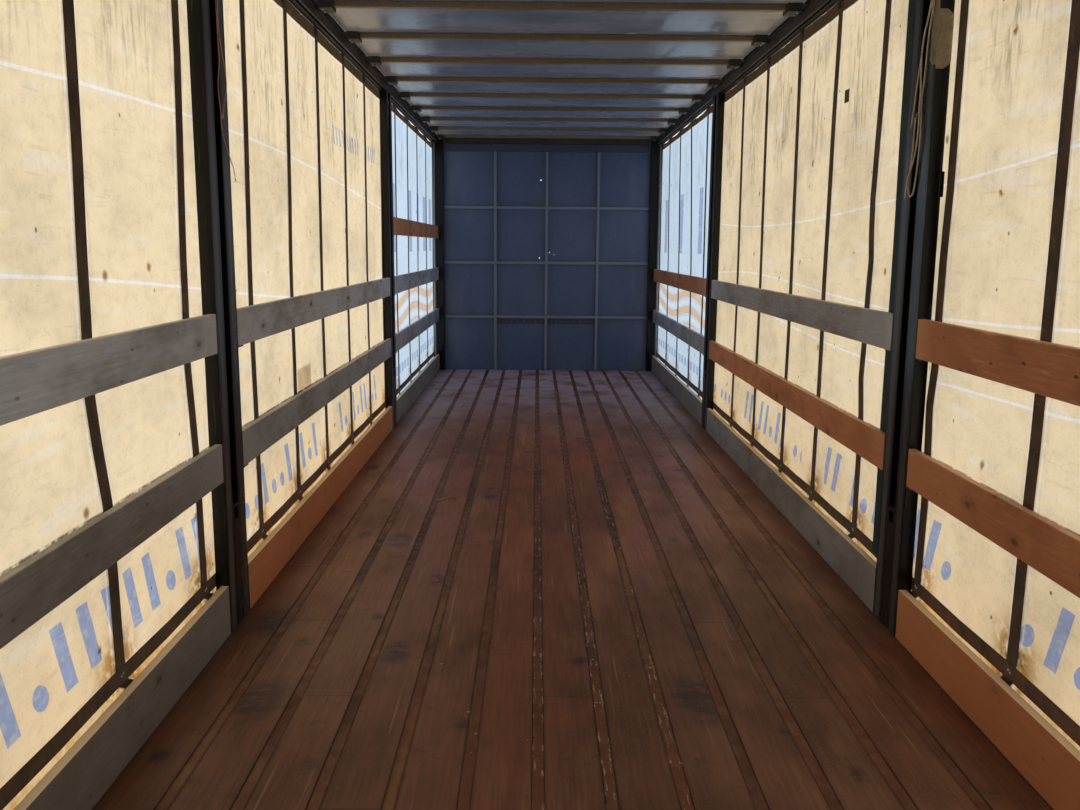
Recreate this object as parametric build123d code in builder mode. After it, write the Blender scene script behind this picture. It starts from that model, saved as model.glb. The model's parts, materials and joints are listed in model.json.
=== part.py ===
from build123d import *
import os

# Curtain-side load body of a semi trailer, standing on its own long bearers.
# Millimetres. +Y points to the headboard, +X to the right, +Z up.
# The origin is on the ground, at the centre of the whole body with its doors folded back.

# Overall sizes
body_width = 2550
load_length = 13620         # headboard ribs to closed rear doors
inner_height = 2515         # deck to the underside of the cant rails
deck_thickness = 27
sheet = 4                   # folded steel sheet
seat_gap = 0.3              # clearance between a soft piece and what carries it

# Floor frame
bearer_height = 120
bearer_flange = 70
bearer_spacing = 1300
bearer_wall = 8
plate_length = 220
plate_thickness = 10
plate_hole_pitch = 140
plate_hole_radius = 8.5
plate_hole_height = 42
plate_middles = (-5600, 5600)
crossmember_height = 80
crossmember_flange = 45
crossmember_pitch = 454
rave_drop = 140             # side rave below the deck boards
rave_lip = 6
rave_outer_inset = 13       # side rave's web behind the body's widest line
rave_foot = 60              # side rave's lower flange, turned up at its edge
rave_upstand = 22
sill_depth = 80

# Deck boards
board_count = 13
strip_width = 36
strip_wall = 5
strip_drop = 2              # the strips lie this much below the boards
notch_play = 1              # deck boards round the corner posts

# Headboard and corner posts
headboard_rib_depth = 40
headboard_sheet = 20
front_post_width = 125
front_post_depth = 110
rear_post_width = 80
rear_post_depth = 110
post_wall = 5
post_chamfer = 6
headboard_columns = 4
headboard_rows = 4
headboard_rib = 30
headboard_beam_height = 80
lashing_rail_height = 60
lashing_rail_drop = 8       # under the lowest rib
lashing_rail_thickness = 5
lashing_slots = 16          # over both middle fields
lashing_slot_width = 12
lashing_slot_height = 34

# Roof
cant_rail_height = 96
cant_rail_depth = 66
track_wall = 5
roof_track_height = 26      # opening of the roof track, inwards
roof_track_depth = 24
roof_track_lid = 14
roof_ledge = 10             # ledge under the roof track, beyond the rail's face
post_track_width = 31
post_track_headroom = 7     # above the post rollers
post_track_slot = 13
curtain_track_width = 20
curtain_track_headroom = 3  # above the curtain rollers
curtain_track_slot = 7
header_depth = 106
bow_pitch = 716
bow_first = 115             # first bow behind the headboard
bow_width = 40
bow_height = 28
bow_drop = 4                # underside of the bow below the roof track's floor
carriage_length = 110
carriage_width = 70
carriage_drop = 14          # carriage below the bow
shoe_play = 2               # slide shoe's middle in the roof track, above and below
shoe_reach = 30
cover_thickness = 4
cover_sag = 14
track_gap = 2               # between the carriages and the cant rail's ledge

# Rollers, poles, rods and hinge pins are drawn with flats
roller_facets = 8
pole_facets = 12

# Side posts, slats and kickboards
post_width = 230
post_depth = 48
post_play = 4               # post behind the line of the side rave's face
post_groove_width = 62
post_groove_depth = 26
post_foot_height = 455
latch_recess = 45
latch_recess_depth = 14
latch_recess_drop = 12      # recess below the foot's upper end
post_roller_radius = 14
post_roller_thickness = 20
post_roller_step = 42       # each roller from the hanger's middle
post_hanger_width = 9
post_hanger_length = 120
post_hanger_height = 22
slat_height = 137
slat_thickness = 25
slat_play = 4               # a slat is this much shorter than its bay, at each end
slat_low = 635              # middle of the lowest slat above the deck
slat_pitch = 457
kickboard_height = 182
kickboard_thickness = 28
pocket_length = 60
pocket_wall = 4

# Curtains
curtain_thickness = 2.5
strap_width = 50
strap_thickness = 2.2
band_height = 205           # lower band above the deck
band_width = 45
band_thickness = 1.5
band_end_gap = 50           # lower band short of each corner post
curtain_hem = 30            # curtain's lower edge below the deck
curtain_top_gap = 3         # curtain below the cant rail
pole_radius = 12.5
pole_gap = 3                # pole from its corner post
roller_radius = 8
roller_thickness = 6
hanger_width = 36
hanger_thickness = 3
hanger_drop = 40            # hanger below the cant rail
hanger_rise = 12
buckle_width = 46
buckle_height = 88
buckle_thickness = 4
buckle_window_length = 30
buckle_window_height = 38
buckle_rise = 8             # buckle above the side rave's lower edge
strap_end_rise = 40

# Rear doors
door_thickness = 30
door_gap = 5                # around each closed door's seal
seal_width = 6
seal_depth = 16
door_border = 70            # frame round the recessed fields on the door's inner face
door_recess = 8
door_fields = 3
folded_gap = 10.1           # folded door's rod guides to the body's widest line
hinge_pin_radius = 7
hinge_barrel_radius = 13
hinge_play = 0.4
hinge_count = 4
hinge_height = 62
hinge_end_gap = 150         # end hinges from the door's ends
blade_length = 170
blade_thickness = 7
ear_thickness = 8
ear_rim = 2                 # hinge ear inside the barrel's outline
ear_tip = 4                 # half of the ear's flat tip
blade_bend = 28             # the blade bends this far inside the seal
rod_radius = 13.5
rod_stand_off = 19
rod_overlap = 40            # rod beyond the door, over the sill and the header
rod_inner_place = 90        # each rod from its edge of the door
rod_outer_place = 330
cam_width = 40
cam_height = 24
keeper_play = 10            # beside the cam
keeper_wall = 8
keeper_reach = 34
keeper_rim = 3              # keeper above and below the cam
guide_wall = 4
guide_flange = 18
guide_height = 44
guide_count = 3
guide_end_gap = 60
handle_height = 700         # above the door's lower edge
handle_length = 300
handle_width = 26
handle_thickness = 9
rest_width = 24             # block on the door behind each handle's end
hub_height = 46
door_open_angle = 270       # folded back along the side, as it stands here

# Places worked out from the sizes above
sides = (-1, 1)
half_width = body_width / 2
bearer_top = bearer_height
deck_bottom = bearer_top + crossmember_height
deck_top = deck_bottom + deck_thickness
rave_bottom = deck_bottom - rave_drop
headboard_depth = headboard_rib_depth + headboard_sheet
guide_half = rod_radius + hinge_play
hinge_offset = rod_stand_off + guide_half + guide_wall + folded_gap + hinge_barrel_radius
headboard_y = (load_length + door_thickness + hinge_offset + hinge_barrel_radius - headboard_depth) / 2
front_y = headboard_y + headboard_depth
rear_y = headboard_y - load_length - door_thickness
frame_length = front_y - rear_y
cant_bottom = deck_top + inner_height
cant_top = cant_bottom + cant_rail_height
rave_x = half_width - rave_outer_inset
half_inner = rave_x - post_play - post_depth
front_post_y = front_y - front_post_depth
rear_post_y = rear_y + rear_post_depth
side_length = front_post_y - rear_post_y
side_mid_y = (front_post_y + rear_post_y) / 2
deck_length = headboard_y - rear_y - sill_depth
deck_mid_y = (headboard_y + rear_y + sill_depth) / 2

# Each side post's middle behind the headboard
post_offsets = (3520, 7450, 10800)
post_middles = [headboard_y - offset for offset in post_offsets]
post_outer = half_inner + post_depth
strap_inner = rave_x + seat_gap
strap_outer = strap_inner + strap_thickness
band_outer = strap_inner - seat_gap
curtain_inner = strap_outer + seat_gap
bow_count = int((load_length - bow_first - header_depth) // bow_pitch) + 1
bow_middles = [headboard_y - bow_first - bow_pitch * number for number in range(bow_count)]

# Places on the closed rear doors
pin_x = half_width - hinge_barrel_radius
pin_y = rear_y - hinge_offset
seal_outer = half_width - rear_post_width - door_gap
seal_inner = door_gap
door_outer = seal_outer - seal_width
door_inner = seal_inner + seal_width
door_bottom = deck_top + door_gap + seal_width
door_top = cant_bottom - door_gap - seal_width
door_height = door_top - door_bottom
door_width = door_outer - door_inner
door_middle_x = (door_inner + door_outer) / 2
door_middle_z = (door_bottom + door_top) / 2
field_height = (door_height - (door_fields + 1) * door_border) / door_fields
hinge_step = (door_height - 2 * hinge_end_gap) / (hinge_count - 1)
hinge_levels = [door_bottom + hinge_end_gap + hinge_step * number for number in range(hinge_count)]
rod_bottom = door_bottom - rod_overlap
rod_top = door_top + rod_overlap
guide_step = (door_height - 2 * guide_end_gap - guide_height) / (guide_count - 1)
guide_levels = [door_bottom + guide_end_gap + guide_step * number for number in range(guide_count)]
handle_z = door_bottom + handle_height

# Lock rods: (place across the door, the way its handle points)
rods = ((door_inner + rod_inner_place, 1), (door_outer - rod_outer_place, -1))

# Keepers: two cheeks beside each lock rod's cam, on the rear sill and the rear header
keeper_step = cam_width / 2 + keeper_play + keeper_wall / 2
keeper_height = cam_height + 2 * keeper_rim
keeper_places = [
    (side * x + step, rear_y - keeper_reach / 2)
    for side in sides for x, way in rods for step in (-keeper_step, keeper_step)
]

# Bays between the posts: (front end, rear end)
bay_fronts = [front_post_y] + [middle - post_width / 2 for middle in post_middles]
bay_rears = [middle + post_width / 2 for middle in post_middles] + [rear_post_y]
bays = list(zip(bay_fronts, bay_rears))

# Each strap's middle behind the headboard, left and right: the curtains don't hang alike
strap_offsets = {
    -1: (
        130, 755, 1480, 2165, 2900, 3630, 4290, 4975, 5680, 6320,
        6970, 7690, 8400, 9090, 9780, 10470, 11160, 11850, 12540, 13230,
    ),
    1: (
        130, 800, 1555, 2300, 2950, 3570, 4305, 4975, 5685, 6295,
        6890, 7615, 8310, 9020, 9710, 10400, 11090, 11780, 12470, 13200,
    ),
}

# Boards on the sides: (side, bay, level, finish), level 0 is the kickboard and 1 to 3 are slats
side_boards = (
    (-1, 0, 0, "grey"), (-1, 0, 1, "grey"), (-1, 0, 2, "grey"), (-1, 0, 3, "brown"),
    (-1, 1, 0, "brown"), (-1, 1, 1, "grey"), (-1, 1, 2, "grey"),
    (-1, 2, 0, "grey"), (-1, 2, 1, "grey"), (-1, 2, 2, "grey"),
    (-1, 3, 0, "grey"), (-1, 3, 1, "grey"), (-1, 3, 2, "brown"),
    (1, 0, 0, "grey"), (1, 0, 1, "grey"), (1, 0, 2, "brown"),
    (1, 1, 0, "grey"), (1, 1, 1, "brown"), (1, 1, 2, "grey"),
    (1, 2, 0, "brown"), (1, 2, 1, "brown"), (1, 2, 2, "brown"),
    (1, 3, 0, "grey"), (1, 3, 1, "grey"), (1, 3, 2, "grey"),
)

os.makedirs("parts", exist_ok=True)
across_front = Plane.XZ.offset(-front_y)


def save(piece, name):
    piece.label = name
    export_step(piece, f"parts/{name}.step")


def section_at(y):
    # A plane across the body, looking forward from the rear: extrusions run to the rear
    return Plane.XZ.offset(-y)


# Long bearers: two channels, open to the outside
with BuildPart() as long_bearers:
    with BuildSketch(across_front):
        for side in sides:
            with BuildLine():
                web = side * bearer_spacing / 2
                tip = web + side * bearer_flange
                inner = web + side * bearer_wall
                Polyline(
                    (web, 0), (tip, 0), (tip, bearer_wall), (inner, bearer_wall),
                    (inner, bearer_height - bearer_wall), (tip, bearer_height - bearer_wall),
                    (tip, bearer_height), (web, bearer_height), close=True,
                )
            make_face()
    extrude(amount=frame_length)
save(long_bearers.part, "long_bearers")

# Mounting plates: on the bearers' flanges, with two bolt holes each for the chassis brackets
with BuildPart() as mounting_plates:
    for side in sides:
        face = side * (bearer_spacing / 2 + bearer_flange)
        with BuildSketch(Plane.YZ.offset(face)):
            with Locations([(y, bearer_height / 2) for y in plate_middles]):
                Rectangle(plate_length, bearer_height)
            with Locations([
                (y + step, plate_hole_height)
                for y in plate_middles for step in (-plate_hole_pitch / 2, plate_hole_pitch / 2)
            ]):
                Circle(plate_hole_radius, mode=Mode.SUBTRACT)
        extrude(amount=side * plate_thickness)
save(mounting_plates.part, "mounting_plates")

# Cross members: channels on the bearers, out to the side raves' webs
member_count = int((frame_length - 2 * sill_depth) // crossmember_pitch)
member_start = front_y - (frame_length - crossmember_pitch * (member_count - 1)) / 2
member_middles = [member_start - crossmember_pitch * number for number in range(member_count)]
with BuildPart() as cross_members:
    with BuildSketch(Plane.YZ):
        for middle in member_middles:
            with BuildLine():
                back = middle - crossmember_flange / 2
                tip = middle + crossmember_flange / 2
                Polyline(
                    (back, bearer_top), (tip, bearer_top), (tip, bearer_top + sheet),
                    (back + sheet, bearer_top + sheet), (back + sheet, deck_bottom - sheet),
                    (tip, deck_bottom - sheet), (tip, deck_bottom), (back, deck_bottom), close=True,
                )
            make_face()
    extrude(amount=rave_x - rave_lip, both=True)
save(cross_members.part, "cross_members")

# Side raves: a folded edge profile with the deck's rebate above and the buckles' lip below
with BuildPart() as side_raves:
    with BuildSketch(section_at(front_post_y)):
        for side in sides:
            with BuildLine():
                web = rave_x - rave_lip
                edge = half_inner - seat_gap
                foot = rave_x - rave_foot
                upstand = rave_bottom + rave_upstand
                points = (
                    (edge, deck_top - rave_lip), (edge, deck_top), (rave_x, deck_top),
                    (rave_x, rave_bottom), (foot, rave_bottom), (foot, upstand), (foot + rave_lip, upstand),
                    (foot + rave_lip, rave_bottom + rave_lip), (web, rave_bottom + rave_lip),
                    (web, deck_top - rave_lip),
                )
                Polyline(*[(side * x, z) for x, z in points], close=True)
            make_face()
    extrude(amount=side_length)
save(side_raves.part, "side_raves")

# End sills: one under the headboard, one under the rear doors with the lower keepers
with BuildPart() as front_sill:
    with BuildSketch(Plane.YZ):
        with BuildLine():
            lower = bearer_top
            Polyline(
                (front_y, lower), (front_y, deck_top), (headboard_y, deck_top),
                (headboard_y, deck_top - sheet),
                (front_y - sheet, deck_top - sheet), (front_y - sheet, lower + sheet),
                (headboard_y, lower + sheet), (headboard_y, lower), close=True,
            )
        make_face()
    extrude(amount=half_width - front_post_width, both=True)
save(front_sill.part, "front_sill")

with BuildPart() as rear_sill:
    with BuildSketch(Plane.YZ):
        with Locations((rear_y + sill_depth / 2, (deck_top + bearer_top) / 2)):
            Rectangle(sill_depth, deck_top - bearer_top)
            Rectangle(sill_depth - 2 * post_wall, deck_top - bearer_top - 2 * post_wall, mode=Mode.SUBTRACT)
    extrude(amount=half_width - rear_post_width, both=True)
    with BuildSketch(Plane.XY.offset(rod_bottom - keeper_rim)):
        with Locations(keeper_places):
            Rectangle(keeper_wall, keeper_reach)
    extrude(amount=keeper_height)
save(rear_sill.part, "rear_sill")

# Deck boards with a steel strip between each two
deck_half = half_inner - 2 * seat_gap
strip_count = board_count - 1
board_width = (2 * deck_half - strip_count * strip_width) / board_count
board_step = board_width + strip_width
board_centres = [-deck_half + board_width / 2 + board_step * number for number in range(board_count)]
with BuildPart() as deck_boards:
    with BuildSketch(Plane.XY.offset(deck_bottom)):
        with Locations([(x, deck_mid_y) for x in board_centres]):
            Rectangle(board_width, deck_length)
        for side in sides:
            for width, post_y, end_y in (
                (front_post_width, front_post_y, front_y), (rear_post_width, rear_post_y, rear_y),
            ):
                with Locations((side * (half_width - width / 2), (post_y + end_y) / 2)):
                    notch_length = abs(end_y - post_y) + 2 * notch_play
                    Rectangle(width + 2 * notch_play, notch_length, mode=Mode.SUBTRACT)
    extrude(amount=deck_thickness)
save(deck_boards.part, "deck_boards")

with BuildPart() as joint_strips:
    with BuildSketch(section_at(headboard_y)):
        for left_board in board_centres[:-1]:
            with BuildLine():
                x = left_board + board_step / 2
                half = strip_width / 2
                rib = half - strip_wall
                crest = deck_top - strip_drop
                Polyline(
                    (x - half, deck_bottom), (x - half, crest), (x + half, crest), (x + half, deck_bottom),
                    (x + rib, deck_bottom), (x + rib, crest - strip_wall), (x - rib, crest - strip_wall),
                    (x - rib, deck_bottom), close=True,
                )
            make_face()
    extrude(amount=deck_length)
save(joint_strips.part, "joint_strips")

# Corner posts: folded tubes, the front pair wider
for name, width, depth, middle in (
    ("front_corner_posts", front_post_width, front_post_depth, front_y - front_post_depth / 2),
    ("rear_corner_posts", rear_post_width, rear_post_depth, rear_y + rear_post_depth / 2),
):
    with BuildPart() as corner_posts:
        with BuildSketch(Plane.XY.offset(rave_bottom)) as corner_section:
            with Locations([(side * (half_width - width / 2), middle) for side in sides]):
                Rectangle(width, depth)
            chamfer(corner_section.vertices(), post_chamfer)
            with Locations([(side * (half_width - width / 2), middle) for side in sides]):
                Rectangle(width - 2 * post_wall, depth - 2 * post_wall, mode=Mode.SUBTRACT)
        extrude(amount=cant_top - rave_bottom)
    save(corner_posts.part, name)

# Headboard: an outer sheet, a grid of ribs inside it and a top beam
headboard_half = half_width - front_post_width
headboard_width = 2 * headboard_half
headboard_height = inner_height - headboard_beam_height
with BuildPart() as headboard_panel:
    with BuildSketch(section_at(front_y)):
        with Locations((0, deck_top + headboard_height / 2)):
            Rectangle(headboard_width, headboard_height)
    extrude(amount=headboard_sheet)
save(headboard_panel.part, "headboard_panel")

column_step = headboard_width / headboard_columns
row_step = headboard_height / headboard_rows
with BuildPart() as headboard_ribs:
    with BuildSketch(section_at(front_y - headboard_sheet)):
        for number in range(1, headboard_columns):
            with Locations((-headboard_half + column_step * number, deck_top + headboard_height / 2)):
                Rectangle(headboard_rib, headboard_height)
        for number in range(1, headboard_rows):
            with Locations((0, deck_top + row_step * number)):
                Rectangle(headboard_width, headboard_rib)
    extrude(amount=headboard_rib_depth)
save(headboard_ribs.part, "headboard_ribs")

with BuildPart() as headboard_beam:
    with BuildSketch(Plane.YZ):
        with Locations((front_y - headboard_depth / 2, cant_bottom - headboard_beam_height / 2)):
            Rectangle(headboard_depth, headboard_beam_height)
            Rectangle(headboard_depth - 2 * sheet, headboard_beam_height - 2 * sheet, mode=Mode.SUBTRACT)
    extrude(amount=headboard_half, both=True)
save(headboard_beam.part, "headboard_beam")

# Lashing rail: a slotted strip over the two middle fields of the lowest row
rail_length = column_step - headboard_rib - 2 * sheet
slots_a_side = lashing_slots // 2
rail_top = deck_top + row_step - headboard_rib / 2 - lashing_rail_drop
with BuildPart() as lashing_rail:
    with BuildSketch(section_at(front_y - headboard_sheet)):
        for side in sides:
            with Locations((side * column_step / 2, rail_top - lashing_rail_height / 2)):
                Rectangle(rail_length, lashing_rail_height)
                with GridLocations(rail_length / slots_a_side, 0, slots_a_side, 1):
                    Rectangle(lashing_slot_width, lashing_slot_height, mode=Mode.SUBTRACT)
    extrude(amount=lashing_rail_thickness)
save(lashing_rail.part, "lashing_rail")

# Cant rails: the post and curtain tracks open downwards, the roof track opens inwards
rail_face = half_width - cant_rail_depth
roof_track_top = cant_top - roof_track_lid
roof_track_floor = roof_track_top - roof_track_height
post_track_x = rail_face + track_wall + post_track_width / 2
curtain_track_x = half_width - track_wall - curtain_track_width / 2
lip_top = cant_bottom + track_wall
with BuildPart() as cant_rails:
    with BuildSketch(section_at(front_post_y)):
        for side in sides:
            with BuildLine():
                ledge = rail_face - roof_ledge
                ledge_bottom = roof_track_floor - track_wall
                post_tip = post_track_slot / 2
                post_half = post_track_width / 2
                post_ceiling = lip_top + 2 * post_roller_radius + post_track_headroom
                curtain_tip = curtain_track_slot / 2
                curtain_half = curtain_track_width / 2
                curtain_ceiling = lip_top + 2 * roller_radius + curtain_track_headroom
                points = (
                    (half_width, cant_bottom), (half_width, cant_top), (rail_face, cant_top),
                    (rail_face, roof_track_top), (rail_face + roof_track_depth, roof_track_top),
                    (rail_face + roof_track_depth, roof_track_floor), (ledge, roof_track_floor),
                    (ledge, ledge_bottom), (rail_face, ledge_bottom), (rail_face, cant_bottom),
                    (post_track_x - post_tip, cant_bottom), (post_track_x - post_tip, lip_top),
                    (post_track_x - post_half, lip_top), (post_track_x - post_half, post_ceiling),
                    (post_track_x + post_half, post_ceiling), (post_track_x + post_half, lip_top),
                    (post_track_x + post_tip, lip_top), (post_track_x + post_tip, cant_bottom),
                    (curtain_track_x - curtain_tip, cant_bottom), (curtain_track_x - curtain_tip, lip_top),
                    (curtain_track_x - curtain_half, lip_top),
                    (curtain_track_x - curtain_half, curtain_ceiling),
                    (curtain_track_x + curtain_half, curtain_ceiling),
                    (curtain_track_x + curtain_half, lip_top),
                    (curtain_track_x + curtain_tip, lip_top), (curtain_track_x + curtain_tip, cant_bottom),
                )
                Polyline(*[(side * x, z) for x, z in points], close=True)
            make_face()
    extrude(amount=side_length)
save(cant_rails.part, "cant_rails")

# Headers that tie the corner posts at both ends, the rear one with the upper keepers
header_middle_z = (cant_bottom + cant_top) / 2
for name, middle, post_inset in (
    ("front_header", front_y - header_depth / 2, front_post_width),
    ("rear_header", rear_y + header_depth / 2, rear_post_width),
):
    with BuildPart() as header:
        with BuildSketch(Plane.YZ):
            with Locations((middle, header_middle_z)):
                Rectangle(header_depth, cant_rail_height)
                Rectangle(header_depth - 2 * post_wall, cant_rail_height - 2 * post_wall, mode=Mode.SUBTRACT)
        extrude(amount=half_width - post_inset, both=True)
        if name == "rear_header":
            with BuildSketch(Plane.XY.offset(rod_top - cam_height - keeper_rim)):
                with Locations(keeper_places):
                    Rectangle(keeper_wall, keeper_reach)
            extrude(amount=keeper_height)
    save(header.part, name)

# Roof bows: flat tubes, closed by the carriages that slide in the cant rails' roof tracks
carriage_outer = rail_face - roof_ledge - track_gap
bow_half = carriage_outer - carriage_width
bow_bottom = roof_track_floor - bow_drop
shoe_height = roof_track_height - 2 * shoe_play
bow_middle_z = bow_bottom + bow_height / 2
with BuildPart() as roof_bows:
    with BuildSketch(Plane.YZ):
        with Locations([(y, bow_middle_z) for y in bow_middles]):
            Rectangle(bow_width, bow_height)
    extrude(amount=bow_half, both=True)
save(roof_bows.part, "roof_bows")

with BuildPart() as bow_carriages:
    for side in sides:
        with BuildSketch(Plane.YZ.offset(side * bow_half)):
            with Locations([(y, bow_middle_z - carriage_drop / 2) for y in bow_middles]):
                Rectangle(carriage_length, bow_height + carriage_drop)
        extrude(amount=side * carriage_width)
        with BuildSketch(Plane.YZ.offset(side * carriage_outer)):
            with Locations([(y, roof_track_floor + seat_gap + shoe_height / 2) for y in bow_middles]):
                Rectangle(carriage_length, shoe_height)
        extrude(amount=side * shoe_reach)
save(bow_carriages.part, "bow_carriages")

# Roof cover: one sheet over the bows, sagging between them
cover_half = carriage_outer - track_gap
cover_seat = bow_bottom + bow_height + seat_gap
cover_end_gap = 4
with BuildPart() as roof_cover:
    with BuildSketch(Plane.YZ):
        with BuildLine():
            flat = carriage_length / 2 + cover_end_gap
            lower = [(front_post_y - cover_end_gap, cover_seat)]
            for ahead, behind in zip(bow_middles, bow_middles[1:]):
                lower.append((ahead - flat, cover_seat))
                lower.append(((ahead + behind) / 2, cover_seat - cover_sag))
                lower.append((behind + flat, cover_seat))
            lower.append((rear_post_y + cover_end_gap, cover_seat))
            upper = [(y, z + cover_thickness) for y, z in reversed(lower)]
            Polyline(*lower, *upper, close=True)
        make_face()
    extrude(amount=cover_half, both=True)
save(roof_cover.part, "roof_cover")

# Side posts: folded sheet with a groove down the inner face, over a closed foot
with BuildPart() as side_posts:
    with BuildSketch(Plane.XY.offset(deck_top)):
        for side in sides:
            for middle in post_middles:
                with BuildLine():
                    half = post_width / 2
                    groove = post_groove_width / 2
                    floor = half_inner + post_groove_depth
                    back = half_inner + sheet
                    outline = (
                        (post_outer, middle - half), (half_inner, middle - half),
                        (half_inner, middle - groove),
                        (floor, middle - groove), (floor, middle + groove), (half_inner, middle + groove),
                        (half_inner, middle + half), (post_outer, middle + half),
                        (post_outer, middle + half - sheet), (back, middle + half - sheet),
                        (back, middle + groove + sheet), (floor + sheet, middle + groove + sheet),
                        (floor + sheet, middle - groove - sheet), (back, middle - groove - sheet),
                        (back, middle - half + sheet), (post_outer, middle - half + sheet),
                    )
                    Polyline(*[(side * x, y) for x, y in outline], close=True)
                make_face()
    extrude(amount=inner_height)
save(side_posts.part, "side_posts")

# Post latches: the locking box that fills the groove's foot, with the lever's recess
recess_z = deck_top + post_foot_height - latch_recess_drop - latch_recess / 2
with BuildPart() as post_latches:
    for side in sides:
        with BuildSketch(Plane.YZ.offset(side * half_inner)):
            with Locations([(middle, deck_top + post_foot_height / 2) for middle in post_middles]):
                Rectangle(post_groove_width, post_foot_height)
        extrude(amount=side * post_groove_depth)
        with BuildSketch(Plane.YZ.offset(side * half_inner)):
            with Locations([(middle, recess_z) for middle in post_middles]):
                Rectangle(latch_recess, latch_recess)
        extrude(amount=side * latch_recess_depth, mode=Mode.SUBTRACT)
save(post_latches.part, "post_latches")

# Post carriages: a hanger plate with two rollers in the cant rail's post track
with BuildPart() as post_carriages:
    for side in sides:
        with BuildSketch(Plane.XY.offset(cant_bottom)):
            with Locations([(side * post_track_x, middle) for middle in post_middles]):
                Rectangle(post_hanger_width, post_hanger_length)
        extrude(amount=post_hanger_height)
        with BuildSketch(Plane.YZ.offset(side * post_track_x)):
            with Locations([
                (middle + step, lip_top + seat_gap + post_roller_radius)
                for middle in post_middles for step in (-post_roller_step, post_roller_step)
            ]):
                RegularPolygon(post_roller_radius, roller_facets)
        extrude(amount=post_roller_thickness / 2, both=True)
save(post_carriages.part, "post_carriages")

# Slats and kickboards, by finish
for finish in ("grey", "brown"):
    with BuildPart() as slats:
        for side, bay, level, colour in side_boards:
            if colour == finish and level > 0:
                ahead, behind = bays[bay]
                z = deck_top + slat_low + slat_pitch * (level - 1)
                with BuildSketch(Plane.XY.offset(z - slat_height / 2)):
                    with Locations((side * (half_inner + slat_thickness / 2), (ahead + behind) / 2)):
                        Rectangle(slat_thickness, ahead - behind - 2 * slat_play)
                extrude(amount=slat_height)
    save(slats.part, f"slats_{finish}")

    with BuildPart() as kickboards:
        for side, bay, level, colour in side_boards:
            if colour == finish and level == 0:
                ahead, behind = bays[bay]
                with BuildSketch(Plane.XY.offset(deck_top)):
                    with Locations((side * (half_inner + kickboard_thickness / 2), (ahead + behind) / 2)):
                        Rectangle(kickboard_thickness, ahead - behind - 2 * slat_play)
                extrude(amount=kickboard_height)
    save(kickboards.part, f"kickboards_{finish}")

# Slat pockets: an angle behind and under each slat's end
pocket_back = half_inner + slat_thickness + seat_gap
pocket_depth = slat_thickness + seat_gap + pocket_wall
with BuildPart() as slat_pockets:
    for side, bay, level, colour in side_boards:
        if level > 0:
            z = deck_top + slat_low + slat_pitch * (level - 1) - slat_height / 2 - pocket_wall
            for end, inward in ((bays[bay][0], -1), (bays[bay][1], 1)):
                along = end + inward * pocket_length / 2
                with BuildSketch(Plane.XY.offset(z)):
                    with Locations((side * (pocket_back + pocket_wall / 2), along)):
                        Rectangle(pocket_wall, pocket_length)
                extrude(amount=slat_height)
                with BuildSketch(Plane.XY.offset(z)):
                    with Locations((side * (half_inner + pocket_depth / 2), along)):
                        Rectangle(pocket_depth, pocket_length)
                extrude(amount=pocket_wall - seat_gap)
save(slat_pockets.part, "slat_pockets")

# Curtains: one closed sheet a side, outside the posts and the side rave
curtain_bottom = deck_top - curtain_hem
curtain_top = cant_bottom - curtain_top_gap
curtain_end_gap = 4
for side, name in ((-1, "curtain_left"), (1, "curtain_right")):
    with BuildPart() as curtain:
        with BuildSketch(Plane.XY.offset(curtain_bottom)):
            with Locations((side * (curtain_inner + curtain_thickness / 2), side_mid_y)):
                Rectangle(curtain_thickness, side_length - 2 * curtain_end_gap)
        extrude(amount=curtain_top - curtain_bottom)
    save(curtain.part, name)

# Curtain straps: webbing down the inside of each curtain to its buckle, and a band along the foot
strap_middles = {side: [headboard_y - offset for offset in strap_offsets[side]] for side in sides}
strap_bottom = rave_bottom + strap_end_rise
with BuildPart() as curtain_straps:
    for side in sides:
        with BuildSketch(Plane.XY.offset(strap_bottom)):
            with Locations([(side * (strap_inner + strap_outer) / 2, y) for y in strap_middles[side]]):
                Rectangle(strap_thickness, strap_width)
        extrude(amount=curtain_top - strap_bottom)
        with BuildSketch(Plane.XY.offset(deck_top + band_height - band_width / 2)):
            with Locations((side * (band_outer - band_thickness / 2), side_mid_y)):
                Rectangle(band_thickness, side_length - 2 * band_end_gap)
        extrude(amount=band_width)
save(curtain_straps.part, "curtain_straps")

# Curtain rollers: a hanger at the head of each strap, with a wheel on its inner side in the curtain track
hanger_outer = strap_inner - seat_gap
hanger_inner = hanger_outer - hanger_thickness
with BuildPart() as curtain_rollers:
    for side in sides:
        with BuildSketch(Plane.XY.offset(cant_bottom - hanger_drop)):
            with Locations([(side * (hanger_inner + hanger_outer) / 2, y) for y in strap_middles[side]]):
                Rectangle(hanger_thickness, hanger_width)
        extrude(amount=hanger_drop + hanger_rise)
        with BuildSketch(Plane.YZ.offset(side * hanger_inner)):
            with Locations([(y, lip_top + seat_gap + roller_radius) for y in strap_middles[side]]):
                RegularPolygon(roller_radius, roller_facets)
        extrude(amount=-side * roller_thickness)
save(curtain_rollers.part, "curtain_rollers")

# Strap buckles: over-centre levers on the outside, hooked under the side rave
buckle_x = strap_outer + seat_gap
with BuildPart() as strap_buckles:
    for side in sides:
        with BuildSketch(Plane.YZ.offset(side * buckle_x)):
            buckle_middle = rave_bottom + buckle_rise + buckle_height / 2
            with Locations([(y, buckle_middle) for y in strap_middles[side]]):
                Rectangle(buckle_width, buckle_height)
                Rectangle(buckle_window_length, buckle_window_height, mode=Mode.SUBTRACT)
        extrude(amount=side * buckle_thickness)
save(strap_buckles.part, "strap_buckles")

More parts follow.
